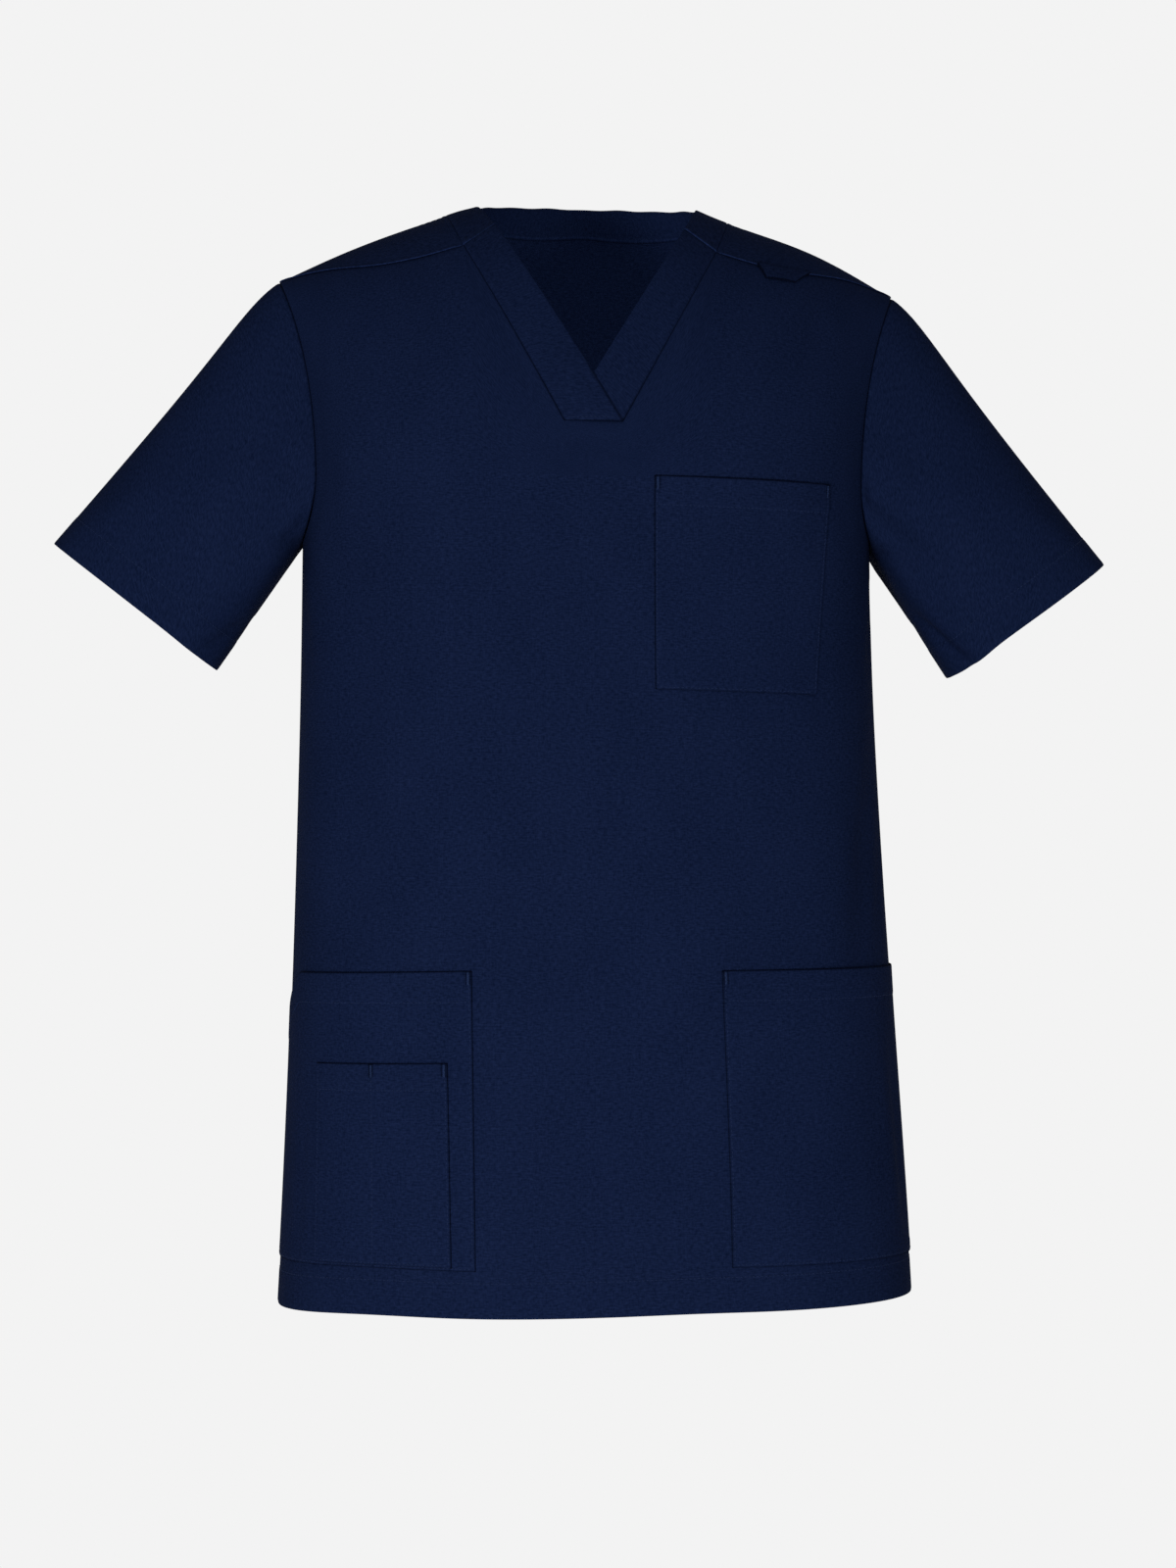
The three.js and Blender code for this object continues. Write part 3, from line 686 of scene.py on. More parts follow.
def add_thread(name, material, sew, places):
    """A piece of thread, sewn by one of the methods at places that are paths with normals."""
    stitches = Stitches()
    for path, normals in places:
        sew(stitches, path, normals)
    return finish_piece(stitches.mesh(name), None, material)


# Cloth
NAVY = (0.0023, 0.0054, 0.0204)
NAVY_LIGHT = (0.0068, 0.0130, 0.0436)
THREAD_NAVY = (0.0105, 0.0200, 0.0620, 1.0)
TACK_NAVY = (0.0140, 0.0290, 0.0860, 1.0)
RAMP_POSITIONS = (0.36, 0.64)

# Noise on the cloth's coordinates, by its scales for each metre along both of them
NOISE_COLUMNS = ("scale", "detail", "in_colour")
WEFT, WARP, CLOUDS = named_rows(NOISE_COLUMNS, [
    ((300, 900, 1), 3, 0.53),
    ((900, 330, 1), 3, 0.35),
    ((24, 15, 1), 4, 0.12),
])
WEFT_HEIGHT = 0.6
WARP_HEIGHT = 0.5
WEAVE_HEIGHT = 0.2
WEAVE_SCALE = 620


def set_sockets(tree, node, sockets):
    """Give each named socket of a node its value, or link it to the output given for it."""
    for name, value in sockets.items():
        if isinstance(value, bpy.types.NodeSocket):
            tree.links.new(value, node.inputs[name])
        else:
            node.inputs[name].default_value = value
    return node


def add_node(tree, kind, sockets):
    return set_sockets(tree, tree.nodes.new(kind), sockets)


def new_material(name):
    material = bpy.data.materials.new(name)
    material.use_nodes = True
    tree = material.node_tree
    return material, tree, tree.nodes["Principled BSDF"]


def stretched_noise(tree, place, noise):
    mapping = add_node(tree, "ShaderNodeMapping", {"Scale": noise["scale"], "Vector": place})
    texture = add_node(tree, "ShaderNodeTexNoise", {
        "Scale": 1, "Detail": noise["detail"], "Vector": mapping.outputs["Vector"]})
    return texture.outputs["Fac"]


def math_node(tree, operation, first, second):
    node = tree.nodes.new("ShaderNodeMath")
    node.operation = operation
    return set_sockets(tree, node, {0: first, 1: second}).outputs["Value"]


def weighted_sum(tree, parts):
    """The sum of (output, weight) pairs."""
    total = 0
    for output, weight in parts:
        total = math_node(tree, "ADD", total, math_node(tree, "MULTIPLY", output, weight))
    return total


def cloth_material(name, tone):
    """Navy poplin: uneven threads in two directions, a fine weave, a faint cloudiness, and painted
    shade and highlight along edges.
    """
    material, tree, shader = new_material(name)
    place = tree.nodes.new("ShaderNodeTexCoord").outputs["UV"]
    weft, warp, clouds = (stretched_noise(tree, place, noise) for noise in (WEFT, WARP, CLOUDS))
    tint = weighted_sum(tree, (
        (weft, WEFT["in_colour"]), (warp, WARP["in_colour"]), (clouds, CLOUDS["in_colour"])))
    tones = add_node(tree, "ShaderNodeValToRGB", {"Fac": tint})
    ends = zip(tones.color_ramp.elements, RAMP_POSITIONS, (NAVY, NAVY_LIGHT))
    for element, position, colour in ends:
        element.position = position
        element.color = tuple(c * tone for c in colour) + (1,)
    # Painted shade and highlight: the colour is scaled by one plus each point's edge value, darker in
    # seams and under edges, lighter along raised edges
    edges = tree.nodes.new("ShaderNodeAttribute")
    edges.attribute_name = "painted_edge_shade_and_highlight"
    shade = tree.nodes.new("ShaderNodeVectorMath")
    shade.operation = "SCALE"
    set_sockets(tree, shade, {
        0: tones.outputs["Color"], "Scale": math_node(tree, "ADD", edges.outputs["Fac"], 1)})
    threads = [(weft, WEFT_HEIGHT), (warp, WARP_HEIGHT)]
    for direction in ("X", "Y"):
        wave = tree.nodes.new("ShaderNodeTexWave")
        wave.bands_direction = direction
        set_sockets(tree, wave, {"Scale": WEAVE_SCALE, "Distortion": 0.6, "Vector": place})
        threads.append((wave.outputs["Fac"], WEAVE_HEIGHT))
    relief = add_node(tree, "ShaderNodeBump", {
        "Strength": 0.4, "Distance": 0.0003, "Height": weighted_sum(tree, threads)})
    set_sockets(tree, shader, {
        "Base Color": shade.outputs["Vector"], "Normal": relief.outputs["Normal"],
        "Roughness": 0.85, "Specular IOR Level": 0.011,
        "Sheen Weight": 0.001, "Sheen Roughness": 0.5})
    return material


def thread_material(name, colour):
    """Sewing thread, a little lighter and smoother than the cloth, twisted along its length."""
    material, tree, shader = new_material(name)
    place = tree.nodes.new("ShaderNodeTexCoord").outputs["Object"]
    twist = add_node(tree, "ShaderNodeTexNoise", {"Scale": 2600, "Vector": place})
    relief = add_node(tree, "ShaderNodeBump", {
        "Strength": 0.3, "Distance": 0.0001, "Height": twist.outputs["Fac"]})
    set_sockets(tree, shader, {
        "Base Color": colour, "Normal": relief.outputs["Normal"],
        "Roughness": 0.55, "Specular IOR Level": 0.08})
    return material


def finish_piece(piece, node, material):
    piece.data.materials.append(material)
    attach(piece, "root")
    if node:
        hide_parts(node)
    return piece


# The cut of what shows of each piece, without hems, seam allowances and folded-in layers, in
# millimetres, and its share of that rectangle
CUTS = {row["node"]: row for row in named_rows(("node", "width", "length", "share"), [
    ("front", 580, 800, 0.80),
    ("back", 580, 830, 0.85),
    ("sleeve_right", 400, 235, 0.745),
    ("sleeve_left", 400, 235, 0.715),
    ("neck_band_right", 26, 210, 0.995),
    ("neck_band_left", 26, 190, 1.0),
    ("neck_band_back", 26, 400, 1.0),
    ("chest_pocket", 134, 145, 0.93),
    ("lower_pocket_right", 205, 200, 1.0),
    ("lower_pocket_left", 205, 200, 1.0),
    ("pen_pocket", 105, 138, 1.0),
    ("badge_loop", 38, 12, 0.97),
])}


def cloth_piece(node, outer, inner, slot, coordinates, tone, round_=False):
    """A shell of cloth that stands in for a node."""
    shell = shell_mesh(f"{node}_cloth", outer, inner, round_, tone)
    add_uv(shell, *coordinates)
    return finish_piece(shell, node, cloths[slot])


# Front and back, whose cloth coordinates run on over the shoulders by this length
SHOULDER_LENGTH = 190.0
PANEL_V = np.concatenate([BODY_Z, CHEST + SHOULDER_SHARES * SHOULDER_LENGTH])[:, None]


def make_panel(node, panel):
    relief, turned, tone = panel_relief(panel)
    surface = panel.points(relief)
    inside = panel.points(relief - CLOTH - turned)
    shell = cloth_piece(node, surface, inside, "body_cloth", (panel.arcs[None, :], PANEL_V), tone)
    normals = (panel.points(relief + 1) - surface)[HEM_STITCH_ROW]
    stitches = add_thread(
        f"{node}_hem_stitches", thread_navy, Stitches.line,
        [(surface[HEM_STITCH_ROW], normals)])


def armhole_ring(hand):
    """The armhole's edge as one ring: up the front from the armpit, and down the back."""
    column = 0 if hand < 0 else -1
    front = FRONT.points(0)[FIRST_ARMHOLE_ROW:, column]
    back = BACK.points(0)[FIRST_ARMHOLE_ROW:, column][::-1]
    armpit = (front[0] + back[-1]) / 2
    shoulder = (front[-1] + back[0]) / 2
    ring = np.concatenate([[armpit], front[1:-1], [shoulder], back[1:-1]])
    lengths = np.linalg.norm(np.roll(ring, -1, axis=0) - ring, axis=1)
    half = len(front) - 1
    up = np.cumsum(np.append(0, lengths[:half]))
    down = np.cumsum(np.append(0, lengths[half:]))
    return ring, np.concatenate([up[:-1] / up[-1], 1 + down[:-1] / down[-1]])


def cuff_points(sleeve, share):
    """The cuff's edge, at shares of the way round it that run as on the armhole."""
    angle = np.pi * share
    along, ahead = (
        np.sign(way) * np.abs(way) ** (2 / CUFF_POWER) for way in (-np.cos(angle), np.sin(angle)))
    along = (1 + along) / 2
    inner, outer = sleeve["inner"], sleeve["outer"]
    return posed(
        sleeve["hand"] * mix(inner[0], outer[0], along),
        -CUFF_DEPTH / 2 * ahead,
        mix(inner[1], outer[1], along) - sleeve["sag"] * bump(along - CUFF_SAG_AT, CUFF_SAG_WIDTH))


# Rows of a sleeve as shares of the way to the cuff, closer at both ends
SLEEVE_ROWS = 60
SLEEVE_STEPS = np.concatenate([
    [0, 0.005, 0.012], np.linspace(0.025, 0.975, SLEEVE_ROWS), [0.985, 0.994, 1]])[:, None]
TUCK = 0.8

# Soft folds of the sleeves. A place is a share of the way round, from 0 under the arm through 1 at
# the shoulder to 2 again, and a share of the way to the cuff. A fold with a hand is on that sleeve
# only.
SLEEVE_FOLDS = named_rows(FOLD_COLUMNS + ("hand",), [
    ((0.10, 0.00), (0.30, 0.34), 5, 3.0),
    ((0.32, -0.10), (0.43, 0.52), 8, 4.6, 1),
    ((0.20, -0.06), (0.26, 0.26), 5, 2.6, -1),
    ((0.44, -0.06), (0.54, 0.40), 9, -1.6),
    ((0.26, 0.00), (0.62, 0.30), 8, 1.4),
    ((0.09, 0.48), (0.25, 1.10), 6.5, 5.0, 1),
    ((0.20, 0.50), (0.32, 1.06), 7, -1.8, 1),
    ((0.10, 0.62), (0.24, 1.06), 8, 2.4, -1),
    ((0.30, 0.60), (0.50, 1.04), 10, 1.6),
    ((0.52, 0.30), (0.86, 0.98), 15, -1.5),
    ((1.90, 0.04), (1.48, 0.50), 8, 2.4),
    ((1.74, 0.02), (1.30, 0.38), 10, 1.7),
    ((1.95, 0.55), (1.62, 1.00), 10, 2.0),
    ((1.40, 0.35), (1.12, 0.95), 16, -1.4),
])
HALF_ROUND = 190.0
SLEEVE_REACH = 200.0
UNDERARM_DIP = 0.35
FOLDS_BEGIN = 12.0


def in_millimetres(place):
    return place[0] * HALF_ROUND, place[1] * SLEEVE_REACH


def sleeve_fold_depth(hand, shares):
    scaled = [
        {**fold, "start": in_millimetres(fold["start"]), "end": in_millimetres(fold["end"])}
        for fold in SLEEVE_FOLDS if fold.get("hand", hand) == hand]
    return fold_depth(scaled, *in_millimetres((shares, SLEEVE_STEPS)))


def sleeve_grid(sleeve):
    """The points of a smooth sleeve, their shares of the way round and each column's length."""
    hand = sleeve["hand"]
    ring, shares = armhole_ring(hand)
    cuff = cuff_points(sleeve, shares)
    length = np.linalg.norm(cuff - ring, axis=1)[None, :]
    down = SLEEVE_STEPS * length / CAP_REACH
    rise = CAP_RISE * down * np.exp(1 - down) * np.sin(np.pi * shares / 2) ** CAP_NARROWNESS
    outward = np.array(CAP_OUTWARD) * np.array([hand, 1, 1])
    grid = mix(ring[None], cuff[None], SLEEVE_STEPS[..., None]) + rise[..., None] * outward
    return grid, shares[None, :], length


def at_length(grid, distance):
    """The point of each column of a grid at a length along it from its last row."""
    reached = lengths_along(grid[::-1], 0)
    path = [[np.interp(distance, reached[:, column], grid[::-1, column, k]) for k in range(3)]
            for column in range(grid.shape[1])]
    return np.array(path)


def make_sleeve(sleeve):
    node = sleeve["name"]
    grid, shares, length = sleeve_grid(sleeve)
    outward = -sleeve["hand"] * tube_normals(grid)
    from_cuff = (1 - SLEEVE_STEPS) * length
    from_seam = SLEEVE_STEPS * length
    from_underarm = np.minimum(shares, 2 - shares) * HALF_ROUND
    relief = hem_relief(from_cuff) - TUCK * bump(from_seam, SEAM_DIP_WIDTH)
    relief -= UNDERARM_DIP * bump(from_underarm, SEAM_DIP_WIDTH)
    relief -= sleeve_fold_depth(sleeve["hand"], shares) * smoothstep(from_seam, 0, FOLDS_BEGIN)
    turned = HEM_INSIDE * up_to(from_cuff, HEM_DEPTH)
    surface = grid + relief[..., None] * outward
    inside = grid + (relief - CLOTH - turned)[..., None] * outward
    # Painted shade along the armhole seam
    tone = painted_line_tone(from_seam, PAINTED_SEAM_SHADE)
    shell = cloth_piece(
        node, surface, inside, "body_cloth", (shares * HALF_ROUND, from_seam), tone, True)
    path = at_length(surface, HEM_DEPTH)
    lifted = at_length(surface + outward, HEM_DEPTH)
    closed = [np.concatenate([line, line[:1]]) for line in (path, lifted - path)]
    stitches = add_thread(
        f"{node}_cuff_stitches", thread_navy, Stitches.line, [closed])


# Neck band. Its shares run from the seam to the folded edge, and down is from the shoulder to the V.
LAP_RISE = DOUBLE + 0.5
LAP_DOWN = (0.58, 0.74)
LAP_ACROSS = (0.25, 0.55)
LAP_REACH = 50.0
LAP_EASE = (-6, 4)
LAP_CLEAR = 0.3
BAND_LIFT = 0.3
BAND_TUCK = 1.2
BAND_TUCK_WIDTH = 0.9
BAND_ROUNDING = 0.35
BAND_ROUNDING_WIDTH = 0.6
BAND_END_ROUNDING = 0.3
BAND_TOP_DIP = 0.4
BAND_TOP_DIP_WIDTH = 1.4
UNDERLAP = 0.8
BAND_DEPTH = 24.0
BAND_LENGTH = 190.0
BACK_BAND_WALL = 1.7

# Rows and columns of the front strips, closer at every edge
BAND_ROWS = 60
BAND_DOWN = np.concatenate([
    [0, 0.003, 0.008], np.arange(1, BAND_ROWS) / (BAND_ROWS + 0.5), [0.99, 0.996, 1]])[:, None]
BAND_SHARES = np.array([[0, 0.02, 0.05, 0.1, 0.2, 0.35, 0.5, 0.65, 0.8, 0.9, 0.95, 0.98, 1.0]])
FROM_BAND_SEAM = BAND_SHARES * BAND_DEPTH
FROM_BAND_EDGE = (1 - BAND_SHARES) * BAND_DEPTH

# A band's surface: sunk at the seam where it tucks under, rounded at its folded edge
BAND_RELIEF = (
    BAND_LIFT - BAND_TUCK * bump(FROM_BAND_SEAM, BAND_TUCK_WIDTH)
    - BAND_ROUNDING * bump(FROM_BAND_EDGE, BAND_ROUNDING_WIDTH))


def band_points(hand, reach, lap, down, share, out):
    """A front strip of the neck band, from the shoulder seam down to the V."""
    edge_x = mix(EDGE_CORNER[0], 0, down * (1 + reach))
    edge_z = mix(EDGE_CORNER[1], NECK_POINT, down * (1 + reach))
    seam_x = mix(SEAM_CORNER[0], BAND_BOTTOM_HALF, down) + UNDERLAP * (1 - down)
    seam_z = mix(SEAM_CORNER[1], BAND_BOTTOM, down)
    x = mix(seam_x, edge_x, share)
    z = mix(seam_z, edge_z, share)
    place = place_in_front_view(np.abs(x), z)
    over = smoothstep(down, *LAP_DOWN) * smoothstep(share, *LAP_ACROSS)
    side = np.where(x < 0, -hand, hand)
    return shoulder_points(side, *place, out + lap * LAP_RISE * over)


OVER_REACH = (BAND_BOTTOM + LAP_CLEAR - NECK_POINT) / (NECK_POINT - EDGE_CORNER[1])

# The stitches across the lapped end, by how far down it they lie and where they run across
BOTTOM_STITCH = 0.985
BOTTOM_ACROSS = np.linspace(0.06, 0.97, 30)


def make_front_band(node, hand, reach, lap):
    """A front strip. With a lap of 1 it crosses over the other at the V, with 0 it ends under it."""
    from_top = BAND_DOWN * BAND_LENGTH
    from_end = (1 - BAND_DOWN) * BAND_LENGTH
    relief = BAND_RELIEF - lap * BAND_END_ROUNDING * bump(from_end, 1) - (
        BAND_TOP_DIP * bump(from_top, BAND_TOP_DIP_WIDTH))
    # Painted shade along the neck seam and along the top where the strip meets the shoulder seam
    tone = painted_line_tone(FROM_BAND_SEAM, PAINTED_NECK_SEAM_SHADE) + painted_line_tone(from_top, PAINTED_SEAM_SHADE)
    if lap:
        # Painted shade along the folded edge near the lapped end, and across the end itself
        lapped = smoothstep(LAP_REACH - from_end, *LAP_EASE)
        edge = painted_line_tone(FROM_BAND_EDGE, PAINTED_SEAM_SHADE) * lapped
        tone = tone + edge + painted_line_tone(from_end, PAINTED_BACK_SEAM_SHADE)
    surface = band_points(hand, reach, lap, BAND_DOWN, BAND_SHARES, relief)
    inside = band_points(hand, reach, lap, BAND_DOWN, BAND_SHARES, relief - DOUBLE)
    tone = np.maximum(tone, PAINTED_NECK_SEAM_SHADE)
    shell = cloth_piece(node, surface, inside, "band_cloth", (FROM_BAND_SEAM, from_top), tone)
    stitches = []
    if lap:
        path, lifted = (
            band_points(hand, reach, lap, BOTTOM_STITCH, BOTTOM_ACROSS, BAND_LIFT + out)
            for out in (0, 1))
        stitches = [add_thread(
            "neck_band_stitches", thread_navy, Stitches.line,
            [(path, lifted - path)])]


# The back strip's folded edge is level behind the neck, by small rises of its own, and a
# little lower at its right corner
BACK_EDGE_RISES = named_rows(RISE_COLUMNS, [
    (50, 17, 3.2),
    (26, 12, 2.2),
    (72, 8, 1.8),
    (0, 16, -0.6),
])
RIGHT_CORNER = -78.0
RIGHT_CORNER_WIDTH = 12.0
RIGHT_CORNER_FALL = 2.0
RISE_EASE = 0.5
BACK_BAND_HALF = 198.0
BACK_BAND_COLUMNS = 141
BACK_BAND_ENDS = [-0.997, -0.992, 0.992, 0.997]
BEHIND = (0.5, 0.6)
SHEEN_FROM_SEAM = 1.4


def back_band_points(forward, share, out):
    """The back strip. forward is 0 behind the neck, and -1 and 1 at the shoulder seams."""
    end = mix(NECK_SEAM_END, NECK_EDGE_END, share)
    angle = mix(math.pi / 2, end, np.abs(forward))
    place = neck_ring(
        mix(NECK_SEAM["half_width"] + UNDERLAP, NECK_EDGE["half_width"], share),
        mix(NECK_SEAM["back"] + UNDERLAP, NECK_EDGE["back"], share),
        mix(NECK_SEAM["front"], NECK_EDGE["front"], share),
        angle)
    points = shoulder_points(np.sign(forward), *place, out)
    rise = rises_at(np.abs(points[..., 0]), BACK_EDGE_RISES) * smoothstep(angle, 0, RISE_EASE)
    fall = RIGHT_CORNER_FALL * bump(points[..., 0] - RIGHT_CORNER, RIGHT_CORNER_WIDTH)
    points[..., 2] += share * (rise - fall)
    return points


def make_back_band():
    node = "neck_band_back"
    forward = np.sort(np.append(np.linspace(-1, 1, BACK_BAND_COLUMNS), BACK_BAND_ENDS))[:, None]
    from_join = (1 - np.abs(forward)) * BACK_BAND_HALF
    relief = BAND_RELIEF + SHOULDER_LAP * bump(from_join, SHOULDER_LAP_WIDTH)
    # Painted shade along the neck seam, deeper behind the neck, a painted sheen line just beside it
    # behind the neck, and a painted highlight at the joins with the shoulder seams
    behind = 1 - smoothstep(np.abs(forward), *BEHIND)
    tone = painted_line_tone(FROM_BAND_SEAM, mix(PAINTED_BACK_SEAM_SHADE, PAINTED_NECK_SEAM_SHADE, behind))
    tone = tone + painted_line_tone(FROM_BAND_SEAM - SHEEN_FROM_SEAM, PAINTED_LAP_HIGHLIGHT * behind)
    tone = tone + painted_line_tone(from_join, PAINTED_LAP_HIGHLIGHT)
    surface = back_band_points(forward, BAND_SHARES, relief)
    inside = back_band_points(forward, BAND_SHARES, relief - BACK_BAND_WALL)
    coordinates = (FROM_BAND_SEAM, forward * BACK_BAND_HALF)
    shell = cloth_piece(node, surface, inside, "band_cloth", coordinates, tone)


# Pockets. Each corner is an arc from the centre line and a level. The corner that drops is the
# outer top one. The painted shade and highlight along the edges and the bar tacks' places are named
# by side.
SIDE_SEAM = float(WAIST_ARCS[-1])
POCKET_STEP = 4.5
POCKET_LINES_BY_EDGE = (0.4, 0.9, 1.7, 2.5, 7, 9)
LINES_BY_TACK = (-2, -1.35, 1.35, 2)
TURNED_IN = 8.0
TURNED_RISE = 0.2
EDGE_STITCH_WIDTH = 0.8
HEM_STITCH_WIDTH = 0.9
EDGE_ROUNDING = 0.3
TOP_ROUNDING = 0.2
ROUNDING_WIDTH = 0.5
GAPE_REACH = 26.0
GAPE_POWER = 0.8
GAPE_START = 12.0
CORNER_REACH = (52.0, 90.0)
TACK_INSET = 2.4
TACK_SIDE = TACK_WIDTH / 2 + 0.4
# Painted shade beside the bar tacks, and the darkest painted shade on a pocket
PAINTED_TACK_SIDE_SHADE = -0.55
DARKEST_PAINTED_SHADE = -0.85
BELOW_TOP = 0.5
POINTS_OF_LINE = 60
POINTS_OF_TACK = 4
COMMON = {"under": LIFT, "rests_on": "front_cloth", "corner_drop": 0.0, "division": None}
LOWER = {
    **COMMON, "hem": 20.5, "gape": 1.1, "tacks": ("inner",), "outer_painted_highlight": 0.0, "top_painted_shade": -0.75}
POCKETS = [
    {**COMMON, "name": "chest_pocket", "hand": 1,
     "inner_top": (42, -169), "outer_top": (176.5, -169.3),
     "inner_bottom": (41.5, -313), "outer_bottom": (159.5, -314.1),
     "hem": 19.5, "gape": 0.9, "tacks": ("inner", "outer"),
     "inner_painted_shade": -0.75, "outer_painted_highlight": 0.3, "top_painted_shade": -0.8, "bottom_painted_shade": -0.6},
    {**LOWER, "name": "lower_pocket_right", "hand": -1, "corner_drop": 34.0,
     "inner_top": (82.9, -502.7), "outer_top": (SIDE_SEAM, -508),
     "inner_bottom": (78.7, -703), "outer_bottom": (SIDE_SEAM, -701.5),
     "inner_painted_shade": -0.6, "bottom_painted_shade": -0.75},
    {**LOWER, "name": "lower_pocket_left", "hand": 1,
     "inner_top": (80.1, -502.9), "outer_top": (SIDE_SEAM, -503.6),
     "inner_bottom": (80.8, -704.4), "outer_bottom": (SIDE_SEAM, -707),
     "inner_painted_shade": -0.55, "bottom_painted_shade": -0.65},
    {**COMMON, "name": "pen_pocket", "hand": -1, "under": 2 * LIFT + CLOTH,
     "rests_on": "lower_pocket_right_cloth", "division": 52.5,
     "inner_top": (98.1, -563.9), "outer_top": (197.8, -565.9),
     "inner_bottom": (93.6, -701), "outer_bottom": (193, -700),
     "hem": 18.0, "gape": 0.7, "tacks": ("inner", "division"),
     "inner_painted_shade": -0.65, "outer_painted_highlight": 0.22, "top_painted_shade": -0.8, "bottom_painted_shade": -0.5},
]


class Pocket:
    """A patch on the front. Places on it are lengths from its inner edge and from its bottom."""

    def __init__(self, facts):
        self.facts = facts
        self.width = facts["outer_top"][0] - facts["inner_top"][0]
        self.height = facts["inner_top"][1] - facts["inner_bottom"][1]
        places = {
            "inner": TACK_INSET, "outer": self.width - TACK_INSET, "division": facts["division"]}
        self.tack_places = [places[place] for place in facts["tacks"]]

    def points(self, across, up, out):
        facts = self.facts
        share, rise = across / self.width, up / self.height
        arc, level = (
            mix(mix(facts["inner_bottom"][k], facts["outer_bottom"][k], share),
                mix(facts["inner_top"][k], facts["outer_top"][k], share), rise)
            for k in (0, 1))
        near = np.clip((across - self.width) / CORNER_REACH[0] + 1, 0, 1)
        high = smoothstep(up, self.height - CORNER_REACH[1], self.height)
        level = level - facts["corner_drop"] * near * high
        return body_points(-1, facts["hand"] * angle_of_arc(arc), level, out)

    def relief(self, across, up):
        """Turned-in edges and hem, their stitches, and a top edge that stands a little open."""
        facts = self.facts
        high = self.height - up
        edge = np.minimum(np.minimum(across, self.width - across), up)
        relief = TURNED_RISE * up_to(edge, TURNED_IN) + HEM_RISE * up_to(high, facts["hem"])
        relief = relief - STITCH_DIP * (
            bump(edge - EDGE_INSET, EDGE_STITCH_WIDTH) + bump(high - facts["hem"], HEM_STITCH_WIDTH))
        relief = relief - EDGE_ROUNDING * bump(edge, ROUNDING_WIDTH)
        relief = relief - TOP_ROUNDING * bump(high, ROUNDING_WIDTH)
        share = np.clip(across / self.width, 0, 1)
        opened = np.sin(np.pi * share) ** GAPE_POWER * np.exp(-high / GAPE_REACH)
        opened = facts["gape"] * opened * smoothstep(edge, 0, GAPE_START)
        return relief + opened + facts["under"] + CLOTH

    # Painted shade along the pocket's edges and beside the bar tacks, and a painted highlight along a
    # raised outer edge
    def tone(self, across, up):
        facts = self.facts
        edges = (
            (across, facts["inner_painted_shade"]), (self.width - across, facts["outer_painted_highlight"]),
            (up, facts["bottom_painted_shade"]), (self.height - up, facts["top_painted_shade"]))
        tone = sum(painted_line_tone(distance, tone) for distance, tone in edges)
        tacked = 1 - smoothstep(self.height - up, TACK_LENGTH, TACK_LENGTH + 1)
        for place in self.tack_places:
            beside = np.abs(across - place) - TACK_SIDE
            tone = tone + tacked * painted_line_tone(beside, PAINTED_TACK_SIDE_SHADE)
        return np.clip(tone, DARKEST_PAINTED_SHADE, PAINTED_LAP_HIGHLIGHT)

    def lines(self, places):
        """Paths on the pocket with their normals."""
        for place in places:
            across, up = np.broadcast_arrays(*(np.asarray(way, float) for way in place))
            relief = self.relief(across, up)
            path = self.points(across, up, relief)
            yield path, self.points(across, up, relief + 1) - path


def make_pocket(facts):
    pocket = Pocket(facts)
    node, width, height = facts["name"], pocket.width, pocket.height
    hem_level = height - facts["hem"]
    beside_tacks = [place + side for place in pocket.tack_places for side in LINES_BY_TACK]
    across = np.union1d(
        spread(0, width, POCKET_STEP, POCKET_LINES_BY_EDGE), beside_tacks)[None, :]
    up = np.union1d(
        spread(0, height, POCKET_STEP, POCKET_LINES_BY_EDGE),
        [hem_level - 1, hem_level, hem_level + 1, height - TACK_LENGTH])[:, None]
    relief = pocket.relief(across, up)
    coordinates = (
        facts["hand"] * (across + facts["inner_top"][0]), up + facts["inner_bottom"][1])
    shell = cloth_piece(
        node, pocket.points(across, up, relief), pocket.points(across, up, relief - CLOTH),
        "pocket_cloth", coordinates, pocket.tone(across, up))

    top = height - BELOW_TOP
    upright = np.linspace(top, EDGE_INSET, POINTS_OF_LINE)
    level = np.linspace(EDGE_INSET, width - EDGE_INSET, POINTS_OF_LINE)
    lines = [(EDGE_INSET, upright), (level, EDGE_INSET), (level, hem_level)]
    if facts["outer_top"][0] < SIDE_SEAM:
        lines.append((width - EDGE_INSET, upright))
    if facts["division"]:
        lines.append((facts["division"], upright))
    tack_heights = np.linspace(top, top - TACK_LENGTH, POINTS_OF_TACK)
    tacks = [(place, tack_heights) for place in pocket.tack_places]
    stitches = add_thread(
        f"{node}_stitches", thread_navy, Stitches.line, pocket.lines(lines))
    bars = add_thread(
        f"{node}_tacks", tack_navy, Stitches.tack, pocket.lines(tacks))


# Badge loop. Its top and foot run across from the first x to the second.
LOOP_TOP = (115, 153)
LOOP_FOOT = (121, 142)
LOOP_LENGTH = 11.0
LOOP_WIDTH = 25.0
LOOP_CUT = 30.0
LOOP_DROP_DEGREES = 5.2
LOOP_STAND = 0.9
LOOP_FOOT_DIP = 0.3
LOOP_DOWN = np.linspace(0, 1, 13)[:, None]
LOOP_SHARES = np.linspace(0, 1, 25)[None, :]
FROM_LOOP_FOOT = (1 - LOOP_DOWN) * LOOP_LENGTH


